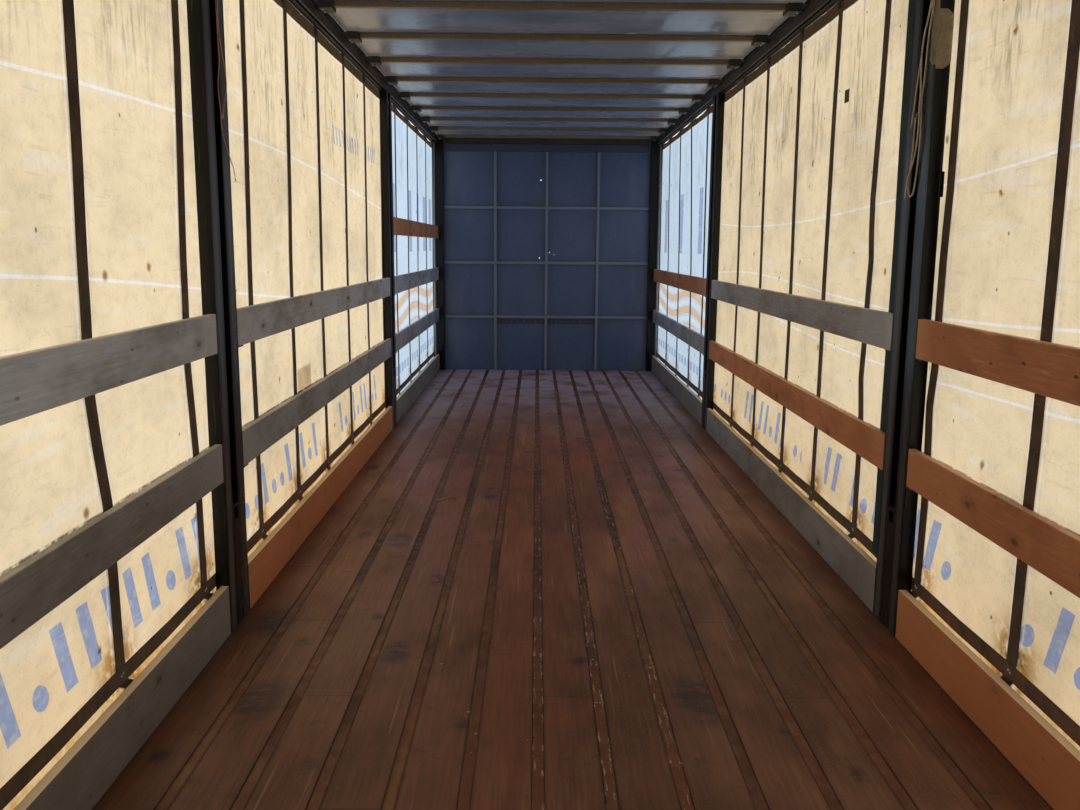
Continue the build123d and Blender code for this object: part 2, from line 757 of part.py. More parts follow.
# Curtain poles: they hold each curtain's ends
pole_x = curtain_inner - pole_radius - seat_gap
pole_middles = (front_post_y - pole_radius - pole_gap, rear_post_y + pole_radius + pole_gap)
with BuildPart() as curtain_poles:
    with BuildSketch(Plane.XY.offset(deck_top + seat_gap)):
        with Locations([(side * pole_x, y) for side in sides for y in pole_middles]):
            RegularPolygon(pole_radius, pole_facets)
    extrude(amount=inner_height - 2 * seat_gap)
save(curtain_poles.part, "curtain_poles")

# Rear doors, drawn closed and then turned back about their hinge pins


def hat_strap(x, side):
    # The outline of a bent strap round a rod, with its two feet on the door
    reach = rod_stand_off + guide_half
    outer = guide_half + guide_wall
    foot = outer + guide_flange
    points = (
        (x - foot, 0), (x - foot, guide_wall), (x - outer, guide_wall), (x - outer, reach + guide_wall),
        (x + outer, reach + guide_wall), (x + outer, guide_wall), (x + foot, guide_wall), (x + foot, 0),
        (x + guide_half, 0), (x + guide_half, reach), (x - guide_half, reach), (x - guide_half, 0),
    )
    return [(side * across, rear_y - out) for across, out in points]


for side, name in ((-1, "left"), (1, "right")):
    pin_axis = Axis((side * pin_x, pin_y, 0), (0, 0, 1))
    open_angle = side * door_open_angle

    with BuildPart() as door_leaf:
        with BuildSketch(section_at(rear_y + door_thickness)):
            with Locations((side * door_middle_x, door_middle_z)):
                Rectangle(door_width, door_height)
        extrude(amount=door_thickness)
        with BuildSketch(section_at(rear_y + door_thickness)):
            with Locations((side * door_middle_x, door_middle_z)):
                with GridLocations(0, field_height + door_border, 1, door_fields):
                    Rectangle(door_width - 2 * door_border, field_height)
        extrude(amount=door_recess, mode=Mode.SUBTRACT)
    save(door_leaf.part.rotate(pin_axis, open_angle), f"door_{name}")

    with BuildPart() as door_seals:
        with BuildSketch(section_at(rear_y + door_thickness)):
            with Locations((side * door_middle_x, door_middle_z)):
                Rectangle(door_width + 2 * seal_width, door_height + 2 * seal_width)
                Rectangle(door_width, door_height, mode=Mode.SUBTRACT)
        extrude(amount=seal_depth)
    save(door_seals.part.rotate(pin_axis, open_angle), f"door_seals_{name}")

    with BuildPart() as door_hinges:
        for z in hinge_levels:
            with BuildSketch(Plane.XY.offset(z - hinge_height / 2)):
                with BuildLine():
                    blade_end = seal_outer - blade_length
                    bend = seal_outer - blade_bend
                    points = (
                        (blade_end, 0), (blade_end, blade_thickness),
                        (bend - blade_thickness, blade_thickness),
                        (pin_x - hinge_pin_radius, hinge_offset - hinge_pin_radius),
                        (pin_x + hinge_pin_radius / 2, hinge_offset - hinge_barrel_radius + sheet),
                        (bend, 0),
                    )
                    Polyline(*[(side * x, rear_y - out) for x, out in points], close=True)
                make_face()
                with Locations((side * pin_x, pin_y)):
                    RegularPolygon(hinge_barrel_radius, pole_facets)
                    RegularPolygon(hinge_pin_radius + hinge_play, pole_facets, mode=Mode.SUBTRACT)
            extrude(amount=hinge_height)
    save(door_hinges.part.rotate(pin_axis, open_angle), f"door_hinges_{name}")

    # Each lock rod has a cam at both ends and a flat handle
    with BuildPart() as lock_rods:
        for x, way in rods:
            with BuildSketch(Plane.XY.offset(rod_bottom)):
                with Locations((side * x, rear_y - rod_stand_off)):
                    RegularPolygon(rod_radius, pole_facets)
            extrude(amount=rod_top - rod_bottom)
            for z in (rod_bottom, rod_top - cam_height):
                with BuildSketch(Plane.XY.offset(z)):
                    with Locations((side * x, rear_y - rod_stand_off)):
                        Rectangle(cam_width, 2 * rod_radius)
                extrude(amount=cam_height)
            bar_y = rear_y - rod_stand_off - rod_radius + handle_thickness / 2
            with BuildSketch(Plane.XY.offset(handle_z - hub_height / 2)):
                with Locations((side * x, rear_y - rod_stand_off)):
                    Rectangle(cam_width, 2 * rod_radius)
            extrude(amount=hub_height)
            with BuildSketch(Plane.XY.offset(handle_z - handle_width / 2)):
                with Locations((side * (x + way * handle_length / 2), bar_y)):
                    Rectangle(handle_length, handle_thickness)
            extrude(amount=handle_width)
    save(lock_rods.part.rotate(pin_axis, open_angle), f"lock_rods_{name}")

    # Rod guides: bent straps round each rod, and a block behind each handle's end
    with BuildPart() as rod_guides:
        for z in guide_levels:
            with BuildSketch(Plane.XY.offset(z)):
                for x, way in rods:
                    with BuildLine():
                        Polyline(*hat_strap(x, side), close=True)
                    make_face()
            extrude(amount=guide_height)
        with BuildSketch(Plane.XY.offset(handle_z - handle_width / 2)):
            rest_depth = rod_stand_off + rod_radius - handle_thickness - hinge_play
            for x, way in rods:
                with Locations((side * (x + way * (handle_length - rest_width)), rear_y - rest_depth / 2)):
                    Rectangle(rest_width, rest_depth)
        extrude(amount=handle_width)
    save(rod_guides.part.rotate(pin_axis, open_angle), f"rod_guides_{name}")

# Hinge lugs: an ear above and below each hinge barrel, with the pin through both
with BuildPart() as hinge_lugs:
    for side in sides:
        for z in hinge_levels:
            pin_bottom = z - hinge_height / 2 - seat_gap - ear_thickness
            for low in (pin_bottom, z + hinge_height / 2 + seat_gap):
                with BuildSketch(Plane.XY.offset(low)):
                    with BuildLine():
                        near = pin_x - hinge_barrel_radius + ear_rim
                        far = half_width - ear_rim
                        tip = hinge_offset + hinge_barrel_radius - ear_rim
                        points = (
                            (half_width - rear_post_width / 2, 0), (far, 0), (far, hinge_offset),
                            (pin_x + ear_tip, tip), (pin_x - ear_tip, tip), (near, hinge_offset),
                        )
                        Polyline(*[(side * x, rear_y - out) for x, out in points], close=True)
                    make_face()
                extrude(amount=ear_thickness)
            with BuildSketch(Plane.XY.offset(pin_bottom)):
                with Locations((side * pin_x, pin_y)):
                    RegularPolygon(hinge_pin_radius, pole_facets)
            extrude(amount=hinge_height + 2 * seat_gap + 2 * ear_thickness)
save(hinge_lugs.part, "hinge_lugs")
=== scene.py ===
import bpy
import json
import numpy as np
from mathutils import Matrix, Vector


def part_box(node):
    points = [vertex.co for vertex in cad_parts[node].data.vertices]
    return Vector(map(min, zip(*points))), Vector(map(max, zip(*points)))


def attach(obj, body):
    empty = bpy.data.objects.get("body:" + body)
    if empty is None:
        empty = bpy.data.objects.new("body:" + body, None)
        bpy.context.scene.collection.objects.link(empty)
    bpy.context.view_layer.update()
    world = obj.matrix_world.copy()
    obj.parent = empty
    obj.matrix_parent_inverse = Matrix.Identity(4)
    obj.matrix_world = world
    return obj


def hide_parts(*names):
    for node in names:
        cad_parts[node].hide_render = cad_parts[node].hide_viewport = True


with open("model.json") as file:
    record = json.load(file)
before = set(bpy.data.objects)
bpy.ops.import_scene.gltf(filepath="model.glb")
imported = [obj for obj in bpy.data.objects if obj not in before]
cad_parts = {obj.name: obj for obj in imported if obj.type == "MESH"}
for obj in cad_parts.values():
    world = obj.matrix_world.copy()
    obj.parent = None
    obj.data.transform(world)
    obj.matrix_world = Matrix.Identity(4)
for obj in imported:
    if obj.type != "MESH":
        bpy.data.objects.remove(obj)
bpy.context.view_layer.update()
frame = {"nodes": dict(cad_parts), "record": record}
nodes = frame["nodes"]
rootBody = "load_body"
slotOf = {part["node"]: part["material_slot"] for part in frame["record"]["subparts"]}
print("frame loaded:", len(nodes), "nodes")


def pointsOf(node):
    # a CAD node's points as one array of places in metres
    mesh = nodes[node].data
    places = np.empty(len(mesh.vertices) * 3)
    mesh.vertices.foreach_get("co", places)
    return places.reshape(-1, 3)


def middlesAlong(node, side, below=9.0, apart=0.2):
    # the middles of a node's like pieces along the body, parted where their points lie far apart
    spots = pointsOf(node)
    along = np.sort(spots[(spots[:, 0] * side > 0) & (spots[:, 2] < below), 1])
    cuts = np.concatenate([[0], np.nonzero(np.diff(along) > apart)[0] + 1, [len(along)]])
    return np.array([(along[first] + along[last - 1]) / 2 for first, last in zip(cuts[:-1], cuts[1:])])


# places read from the frame, in metres; sides are -1 for left and 1 for right
sides = {"left": -1, "right": 1}
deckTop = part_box("deck_boards")[1].z
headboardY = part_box("headboard_ribs")[0].y
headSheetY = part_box("headboard_panel")[0].y
postFace = float(np.min(np.abs(pointsOf("side_posts")[:, 0])))
postMiddles = middlesAlong("side_posts", 1)[::-1]
postHalf = 0.115  # half a post's width
bowMiddles = middlesAlong("roof_bows", 1)[::-1]
strapMiddles = {
    name: middlesAlong("curtain_straps", side, deckTop - 0.05)[::-1] for name, side in sides.items()
}

# the camera stands in the load space, looking at the headboard and a little down
cameraPlace = dict(
    side=-0.1066, behindHeadboard=10.853, aboveDeck=1.3963,
    pitch=0.1647, yaw=0.0043, roll=0.0073, focalPixels=951.66, imageWidth=1080, sensorWidth=36.0,
    nearest=0.05,
)
eyeY = headboardY - cameraPlace["behindHeadboard"]


def addCamera(c):
    pitch, yaw, roll = c["pitch"], c["yaw"], c["roll"]
    ahead = np.array([np.sin(yaw) * np.cos(pitch), np.cos(yaw) * np.cos(pitch), -np.sin(pitch)])
    level = np.array([np.cos(yaw), -np.sin(yaw), 0.0])
    upright = np.cross(level, ahead)
    right = level * np.cos(roll) + upright * np.sin(roll)
    up = upright * np.cos(roll) - level * np.sin(roll)
    camera = bpy.data.objects.new("camera", bpy.data.cameras.new("camera"))
    bpy.context.scene.collection.objects.link(camera)
    camera.data.sensor_width = c["sensorWidth"]
    camera.data.lens = c["sensorWidth"] * c["focalPixels"] / c["imageWidth"]
    camera.data.clip_start = c["nearest"]
    place = Vector((c["side"], eyeY, deckTop + c["aboveDeck"]))
    turn = Matrix([right, up, -ahead]).transposed().to_4x4()
    camera.matrix_world = Matrix.Translation(place) @ turn
    bpy.context.scene.camera = camera


addCamera(cameraPlace)
print("camera placed")


class Wire:
    # a node's output, so that shader maths reads as plain sums
    def __init__(self, graph, socket):
        self.graph, self.socket = graph, socket

    def joined(self, operation, first, second=None, third=None):
        values = {0: first, 1: second, 2: third}
        values = {slot: value for slot, value in values.items() if value is not None}
        return self.graph.put("ShaderNodeMath", {"operation": operation}, values)

    def __add__(self, other):
        return self.joined("ADD", self, other)

    def __radd__(self, other):
        return self.joined("ADD", other, self)

    def __sub__(self, other):
        return self.joined("SUBTRACT", self, other)

    def __rsub__(self, other):
        return self.joined("SUBTRACT", other, self)

    def __mul__(self, other):
        return self.joined("MULTIPLY", self, other)

    def __rmul__(self, other):
        return self.joined("MULTIPLY", other, self)

    def __truediv__(self, other):
        return self.joined("DIVIDE", self, other)

    def __mod__(self, other):
        return self.joined("FLOORED_MODULO", self, other)

    def __gt__(self, other):
        return self.joined("GREATER_THAN", self, other)

    def __lt__(self, other):
        return self.joined("LESS_THAN", self, other)

    def made(self, operation, second=None):
        return self.joined(operation, self, second)

    def ramp(self, low, high, fromValue=0.0, toValue=1.0):
        # a smooth step from one value to another between low and high
        sockets = {"Value": self, "From Min": low, "From Max": high, "To Min": fromValue, "To Max": toValue}
        return self.graph.put("ShaderNodeMapRange", {"interpolation_type": "SMOOTHSTEP"}, sockets)

    def near(self, centre, half, soft):
        # 1 within half of the centre, falling to 0 over soft
        return (self - centre).made("ABSOLUTE").ramp(half + soft, half)


class Graph:
    # one material's nodes
    def __init__(self, name):
        self.material = bpy.data.materials.new(name)
        self.material.use_nodes = True
        self.tree = self.material.node_tree
        self.tree.nodes.clear()

    def put(self, kind, settings=None, sockets=None, out=0):
        node = self.tree.nodes.new(kind)
        for key, value in (settings or {}).items():
            setattr(node, key, value)
        for key, value in (sockets or {}).items():
            if isinstance(value, Wire):
                self.tree.links.new(value.socket, node.inputs[key])
            elif isinstance(value, tuple) and len(value) == 3 and node.inputs[key].type == "RGBA":
                node.inputs[key].default_value = (*value, 1.0)
            else:
                node.inputs[key].default_value = value
        return Wire(self, node.outputs[out] if len(node.outputs) else None)

    def place(self, centre=(0, 0, 0), scale=(1, 1, 1)):
        spot = self.put("ShaderNodeTexCoord", out=3)
        return self.put("ShaderNodeMapping", sockets={"Vector": spot, "Location": centre, "Scale": scale})

    def parts(self, vector):
        return [self.put("ShaderNodeSeparateXYZ", sockets={"Vector": vector}, out=axis) for axis in range(3)]

    def axes(self):
        # the place on the piece, as three numbers in metres
        return self.parts(self.put("ShaderNodeTexCoord", out=3))

    def facing(self):
        # the surface's own direction, as three numbers from -1 to 1
        return self.parts(self.put("ShaderNodeNewGeometry", out=1))

    def value(self, name):
        # a number that the mesh carries at each point
        return self.put("ShaderNodeAttribute", {"attribute_name": name}, out=2)

    def chance(self, *wires):
        # one even random number for each whole set of values
        spot = self.put("ShaderNodeCombineXYZ", sockets=dict(zip("XYZ", wires)))
        return self.put("ShaderNodeTexWhiteNoise", {"noise_dimensions": "3D"}, {"Vector": spot})

    def noise(self, size, detail=3.0, rough=0.55, stretch=(1, 1, 1), shift=0.0):
        # size is the width of a blotch in metres; the middle of its range is 0.5
        spot = self.place(centre=(shift, 1.7 * shift, 2.3 * shift), scale=stretch)
        sockets = {"Vector": spot, "Scale": 1.0 / size, "Detail": detail, "Roughness": rough}
        return self.put("ShaderNodeTexNoise", sockets=sockets)

    def flatCells(self, first, second, size):
        # distance from the nearest of one spot in each square, in squares
        spot = self.put("ShaderNodeCombineXYZ", sockets={"X": first / size, "Y": second / size})
        return self.put("ShaderNodeTexVoronoi", {"voronoi_dimensions": "2D"}, {"Vector": spot, "Scale": 1.0})

    def mix(self, mask, first, second, blend="MIX"):
        mixer = self.put("ShaderNodeMix", {"data_type": "RGBA", "blend_type": blend}, {0: mask}).socket.node
        for slot, value in ((6, first), (7, second)):
            if isinstance(value, Wire):
                self.tree.links.new(value.socket, mixer.inputs[slot])
            else:
                mixer.inputs[slot].default_value = (*value, 1.0)
        return Wire(self, mixer.outputs[2])

    def shade(self, colour, amount):
        # a colour made lighter or darker by a number
        spread = self.put("ShaderNodeCombineXYZ", sockets={"X": amount, "Y": amount, "Z": amount})
        return self.mix(1.0, colour, spread, "MULTIPLY")

    def bump(self, height, depth, strength=1.0):
        return self.put("ShaderNodeBump", sockets={"Height": height, "Distance": depth, "Strength": strength})

    def through(self, colour, normal):
        # cloth that glows with the light from its other side
        return self.put("ShaderNodeBsdfTranslucent", sockets={"Color": colour, "Normal": normal})

    def between(self, mask, first, second):
        # one finish where the mask is 0 and another where it is 1
        return self.put("ShaderNodeMixShader", sockets={0: mask, 1: first, 2: second})

    def surface(self, **sockets):
        names = {
            "colour": "Base Color", "rough": "Roughness", "metal": "Metallic", "normal": "Normal",
            "coat": "Coat Weight", "sheen": "Sheen Weight", "specular": "Specular IOR Level",
            "glow": "Emission Color", "glowStrength": "Emission Strength",
        }
        sockets = {names[key]: value for key, value in sockets.items()}
        return self.put("ShaderNodeBsdfPrincipled", sockets=sockets)

    def done(self, shader):
        self.put("ShaderNodeOutputMaterial", sockets={"Surface": shader})
        return self.material


def linear(red, green, blue):
    # a colour as the eye reads it, 0 to 255, as the shader's linear values
    share = np.array([red, green, blue]) / 255.0
    steep = ((share + 0.055) / 1.055) ** 2.4
    return tuple(np.where(share <= 0.04045, share / 12.92, steep).tolist())


def gridFaces(rows, columns, wrap=False):
    # each face joins four neighbours among rows of points, and wrap joins the last column to the first
    index = np.arange(rows * columns).reshape(rows, columns)
    closed = np.concatenate([index, index[:, :1]], axis=1) if wrap else index
    corners = [closed[:-1, :-1], closed[:-1, 1:], closed[1:, 1:], closed[1:, :-1]]
    return np.stack(corners, axis=-1).reshape(-1, 4)


class Shape:
    # the points and faces of one piece, gathered from several surfaces
    def __init__(self):
        self.points, self.faces, self.values, self.count = [], [], {}, 0

    def add(self, points, faces, **values):
        points, faces = np.asarray(points, float).reshape(-1, 3), np.asarray(faces)
        self.points.append(points)
        self.faces.append(faces + self.count)
        for name, numbers in values.items():
            self.values.setdefault(name, []).append(np.asarray(numbers, float).reshape(-1))
        self.count += len(points)

    def grid(self, points, wrap=False, **values):
        self.add(points, gridFaces(*points.shape[:2], wrap), **values)

    def ribbon(self, line, thickWay, wideWay, corners, along):
        # a flat section carried down a line, with closed ends: line + thin * thickWay + wide * wideWay
        line = np.stack(np.broadcast_arrays(*line), axis=-1)
        thickWay, wideWay = np.array(thickWay), np.array(wideWay)
        ring = np.stack([line + thin * thickWay + wide * wideWay for thin, wide in corners], axis=1)
        last = ring.shape[0] * 4
        ends = [[3, 2, 1, 0], [last - 4, last - 3, last - 2, last - 1]]
        along = np.broadcast_to(along[:, None], ring.shape[:2])
        across = np.broadcast_to([wide for thin, wide in corners], ring.shape[:2])
        self.add(ring, np.concatenate([gridFaces(len(ring), 4, True), ends]), along=along, across=across)

    def studs(self, ring, places):
        # one turned head at many places
        points = ring.reshape(-1, 3)
        faces = gridFaces(*ring.shape[:2], wrap=True)
        steps = np.arange(len(places))[:, None, None] * len(points)
        self.add(places[:, None, :] + points, (faces + steps).reshape(-1, 4))

    def piece(self, name, material, slot, smooth=True):
        mesh = bpy.data.meshes.new(name)
        faces = [face for part in self.faces for face in part.tolist()]
        mesh.from_pydata(np.concatenate(self.points).tolist(), [], faces)
        for value, numbers in self.values.items():
            mesh.attributes.new(value, "FLOAT", "POINT").data.foreach_set("value", np.concatenate(numbers))
        mesh.polygons.foreach_set("use_smooth", np.full(len(mesh.polygons), smooth))
        mesh.materials.append(material)
        made = bpy.data.objects.new(name, mesh)
        bpy.context.scene.collection.objects.link(made)
        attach(made, rootBody)
        return made


def creases(y, z, seed, waves=(0.31, 0.17, 0.093, 0.051)):
    # soft upright folds: sines along the body, each as high as it is long, whose phase drifts with height
    steps = enumerate(waves, 1)
    return sum(wave * np.sin(2 * np.pi * y / wave + float(step) * z + seed * step) for step, wave in steps)


# coated curtain cloth: warm where the light comes through, dirty in patches, with a plain printed pattern
clothLook = dict(
    warm=(0.95, 0.780, 0.515), orange=(0.92, 0.46, 0.09), front=(0.64, 0.82, 1.0), ink=(0.27, 0.37, 0.62),
    pale=(0.98, 0.99, 1.0), dark=(0.050, 0.030, 0.013), share=0.76,
    outWarm=linear(226, 214, 188), outOrange=linear(192, 164, 130), outFront=linear(216, 222, 230),
    outInk=linear(84, 98, 146), outPale=linear(236, 240, 244), outDark=linear(58, 47, 36),
    # distances from the camera, heights above the deck and pitches along the body
    frontFrom=7.36, frontTo=7.46, barPitch=0.135, barsAt=0.385, spotsAt=0.335, spotEdge=(0.037, 0.033),
    blockPitch=0.54, blocksAt=1.62, dashPitch=0.17, dashesAt=0.36,
    markPitch=0.082, marksAt=2.02, marksSpan=(6.28, 0.72), wavePitch=0.150, wavesAt=0.86,
    smudgesAt=2.14, bandAt=0.225, hemFrom=2.450, patchAt=(4.75, 0.735), slotAt=(4.41, 2.07),
    # dirt lines above the slats: height, half width, softness
    ledges=((0.680, 0.003, 0.007), (1.139, 0.002, 0.005)),
    # pale lines: height, rise along the body, swing, and how fast they swing
    lines=((0.92, 0.030, 0.10, 0.62), (1.30, -0.020, 0.07, 0.9), (1.62, 0.012, 0.16, 0.47)),
)


def clothMaterial(c):
    g = Graph("curtainCloth")
    x, y, z = g.axes()
    ahead, above, gap = y - eyeY, z - deckTop, g.value("strapGap")
    right = x > 0.0
    inFront = ahead.ramp(c["frontFrom"], c["frontTo"]) * 0.97
    # thin pale lines that rise and fall along the body
    pale = 0.0
    for base, rise, swing, turn in c["lines"]:
        height = above - base - ahead * rise - ((ahead * turn + right * 1.9).made("SINE") * swing)
        pale = pale + height.near(0.0, 0.0032, 0.0030)
    pale = pale.made("MINIMUM", 1.0) * (1 - inFront) * 0.72
    # slanted bars with round spots between them along the foot, in uneven groups
    run = (ahead + (above - 0.38) * 0.32) / c["barPitch"]
    some = g.chance(run.made("FLOOR"), right)
    bar = (run % 1.0).near(0.5, 0.21, 0.02) * above.near(c["barsAt"], 0.092, 0.004) * (some > 0.40)
    offAcross, offUp = ((run % 1.0) - 0.5) * c["barPitch"], above - c["spotsAt"]
    spot = (offAcross * offAcross + offUp * offUp).made("SQRT").ramp(*c["spotEdge"]) * (some < 0.30)
    groups = (ahead * 0.55 + right * 0.35) % 1.0 < 0.78
    ink = (bar + spot) * groups * (1 - inFront)
    # upright blocks and dashes in the front bay
    pitch = (ahead + right * 0.2) / c["blockPitch"]
    tall = above.near(c["blocksAt"], 0.27, 0.01) * (g.chance(pitch.made("FLOOR"), right) > 0.3)
    dashes = (ahead / c["dashPitch"] % 1.0).near(0.5, 0.3, 0.03) * above.near(c["dashesAt"], 0.035, 0.006)
    small = (ahead + (above - c["marksAt"]) * 0.3) / c["markPitch"]
    small = (small % 1.0).near(0.5, 0.2, 0.03) * above.near(c["marksAt"], 0.048, 0.004)
    ink = ink + small * ahead.near(*c["marksSpan"], 0.01) * (ahead * 0.9 % 1.0 < 0.74) * (1 - right) * 0.75
    ink = ink + inFront * ((pitch % 1.0).near(0.5, 0.17, 0.02) * tall * 0.9 + dashes * 0.75)
    ink = ink * g.noise(0.030, 1, 0.7, shift=5.0).ramp(0.25, 0.50, 0.62, 0.88)
    wave = (above + (ahead * 2.6 + right * 1.3).made("SINE") * 0.050) / c["wavePitch"]
    banded = inFront * above.near(c["wavesAt"], 0.15, 0.02)
    # dirt: broad clouds, mottling and fine specks, heavier on the right
    clouds = g.noise(0.55, 2, 0.6, (1, 1, 1.2), 1.0).ramp(0.40, 0.74)
    mottle = g.noise(0.060, 3, 0.75, (1, 0.75, 1.3), 2.0)
    specks = g.noise(0.010, 1, 0.6, shift=3.0)
    streaky = g.noise(0.030, 2, 0.7, (1, 1, 0.20), 15.0)
    dark = clouds * 0.19 + mottle.ramp(0.36, 0.84) * 0.15 + specks.ramp(0.58, 0.74) * 0.09 + right * 0.045
    dark = dark + streaky.ramp(0.50, 0.78) * above.ramp(0.9, 2.3) * 0.12
    # painted shade: darker beside each strap, broken up in streaks
    dark = dark + gap.ramp(0.085, 0.026) * streaky.ramp(0.36, 0.62) * 0.13
    dark = dark * (1 - inFront * 0.80)
    scratch = g.noise(0.012, 1, 0.5, (1, 0.07, 0.8), 4.0)
    dark = dark + scratch.ramp(0.34, 0.24) * 0.08
    dots = g.flatCells(ahead + right * 3.3, above, 0.47).ramp(0.016, 0.009) * 0.6
    # sooty smudges midway between the straps near the top, and a dirt line above each slat
    smudge = gap.ramp(0.10, 0.29) * above.near(c["smudgesAt"], 0.12, 0.30) * streaky.ramp(0.44, 0.68)
    soaked = g.noise(0.05, 2, 0.7, shift=9.0)
    lower, upper = [above.near(*line) for line in c["ledges"]]
    ledge = (lower + upper) * soaked.ramp(0.26, 0.52) * (1 - inFront * 0.7)
    seamSide = gap.ramp(0.032, 0.026) * 0.22
    dark = dark + dots + smudge * 0.30 + ledge * 0.75 + seamSide
    # rust and mould stains where the band crosses the straps and along the foot, and a painted glow: brighter
    # orange towards the foot
    stain = gap.ramp(0.17, 0.02) * above.near(c["bandAt"], 0.03, 0.11) * soaked.ramp(0.32, 0.56)
    foot = above.ramp(0.20, 0.11) * soaked.ramp(0.40, 0.62)
    rust = g.flatCells(ahead - right * 5.1, above + 0.31, 0.66).ramp(0.034, 0.006) * soaked.ramp(0.40, 0.50)
    # painted light: the cloth glows brighter orange towards its foot
    glow = above.ramp(0.70, 0.20) * 0.20 + above.ramp(0.24, 0.15) * 0.20
    orange = glow * (1 - inFront) + (stain * 0.85 + foot * 0.70) * (1 - inFront * 0.6) + rust * 0.7
    orange = orange + banded * (wave % 1.0).near(0.3, 0.20, 0.04) * 0.62
    dark = dark + stain * 0.50 + foot * 0.22 + rust * 0.6
    # a sewn patch on the left, and a torn slot on the right
    (patchY, patchZ), (slotY, slotZ) = c["patchAt"], c["slotAt"]
    patch = ahead.near(patchY, 0.128, 0.02) * above.near(patchZ, 0.050, 0.02) * (1 - right)
    slot = ahead.near(slotY, 0.030, 0.004) * above.near(slotZ, 0.026, 0.004) * right
    seam = gap.near(0.0375, 0.0030, 0.0025)
    pale = pale + seam * 0.42 * (1 - inFront * 0.5) + above.near(2.444, 0.003, 0.004) * 0.4
    smear = g.noise(0.11, 1, 0.7, (1, 0.22, 1.7), 18.0).ramp(0.56, 0.76)
    pale = pale + scratch.ramp(0.70, 0.80) * 0.22 + smear * 0.20
    pale = pale + banded * (wave % 1.0).near(0.78, 0.12, 0.04) * 0.5
    hem = above.ramp(c["hemFrom"], c["hemFrom"] + 0.006)
    dark = dark + patch * 0.34 + slot + hem * 0.95
    orange = orange + patch * 0.30
    pale, orange, ink, dark = [mask.made("MINIMUM", 1.0) for mask in (pale, orange, ink, dark)]
    # soft waves
    normal = g.bump(g.noise(0.075, 1, 0.6, (1, 1, 0.6), 14.0), 0.006, 0.5)
    glowing = g.through(c["warm"], normal)
    body = g.mix(inFront, c["outWarm"], c["outFront"])
    for mask, finish, outside in (
        (inFront, "front", None), (orange, "orange", "outOrange"), (ink, "ink", "outInk"),
        (pale, "pale", "outPale"), (dark, "dark", "outDark"),
    ):
        glowing = g.between(mask, glowing, g.through(c[finish], normal))
        body = g.mix(mask, body, c[outside]) if outside else body
    rough = mottle.ramp(0.3, 0.7, 0.42, 0.62)
    face = g.surface(colour=body, rough=rough, normal=normal, specular=0.35)
    return g.done(g.between(c["share"], face, glowing))


# curtains: hung from the rails, drawn tight at the straps and blown out a little between them
curtainHang = dict(
    columns=720, rows=84, plane=0.0018, bulge=0.0065, fold=0.0042, topSag=0.009, footWave=0.003,
    pinch=0.07, sagReach=0.30, looseFrom=7.3,
    strapHalf=0.0275, strapThick=0.0022, strapSteps=150, ripple=0.0004,
    bandWidth=0.049, bandThick=0.0015, bandHeight=0.203, bandClear=0.0004, bandSteps=560, bandEnd=0.05,
    bandSag=0.004, bandReach=0.34, bandWave=0.003,
)
# how far each strap leans along the body, in millimetres, at these heights above the deck, in metres
# straps are numbered from the front
strapHeights = (-0.03, 0.06, 0.12, 0.2, 0.3, 0.5, 0.7, 0.86, 1.0, 1.2, 1.35, 1.45, 1.6, 2.0, 2.48)
usualLean = (0, 45, 45, 10, 10, 6, 2, -4, -6, -4, 0, 3, 10, 20, 32)
strapLean = {
    "left": {
        9: (0, 45, 42, 4, 0, 0, -3, -3, -4, -8, -4, 4, 18, 36, 46),
        10: (0, 67, 67, 12, 8, 2, 0, -6, -10, -8, -4, 2, 10, 28, 40),
        11: (0, 87, 87, 27, 22, 18, 12, -6, -23, -13, -10, -4, 6, 32, 40),
        12: (0, 107, 107, 57, 54, 50, 47, 12, -12, -3, 0, 4, 12, 22, 30),
    },
    "right": {
        1: (0, -20, -30, -50, -50, -50, -45, -40, -30, -10, 0, 10, 30, 70, 100),
        2: (0, -20, -30, -50, -50, -50, -48, -40, -30, -10, 0, 10, 30, 80, 120),
        3: (0, -20, -30, -55, -54, -50, -45, -40, -30, -10, 10, 30, 50, 120, 220),
        9: (0, 55, 55, 18, 16, 12, 0, 0, 0, 10, 8, 6, 4, 0, -18),
        10: (0, 40, 40, -16, -17, -18, -17, 12, 0, -8, -22, -6, 4, -24, -40),
        11: (0, 55, 55, 18, 14, 6, 12, 26, 5, 5, 4, 0, -10, -12, -14),
        12: (0, 55, 55, 30, 24, 20, 16, 10, 8, 6, 6, 6, 6, 6, 6),
    },
}


# between these heights above the deck each strap hooks forwards, all within a short step
strapHook = dict(low=0.12, rise=0.08, stepFrom=0.150, step=0.036)


def strapPlaces(name, heights, c=strapHook):
    # each strap's place along the body at each height, its bends eased over a hand's width
    straps = []
    share = np.clip((heights - c["stepFrom"]) / c["step"], 0, 1)
    hooked = c["low"] + c["rise"] * share ** 2 * (3 - 2 * share)
    heights = np.where((heights > c["low"]) & (heights < c["low"] + c["rise"]), hooked, heights)
    for number, middle in enumerate(strapMiddles[name]):
        lean = np.array(strapLean[name].get(number, usualLean)) / 1000
        near = [np.interp(heights + step, strapHeights, lean) for step in np.linspace(-0.010, 0.010, 5)]
        straps.append(middle + np.mean(near, axis=0))
    return np.array(straps)


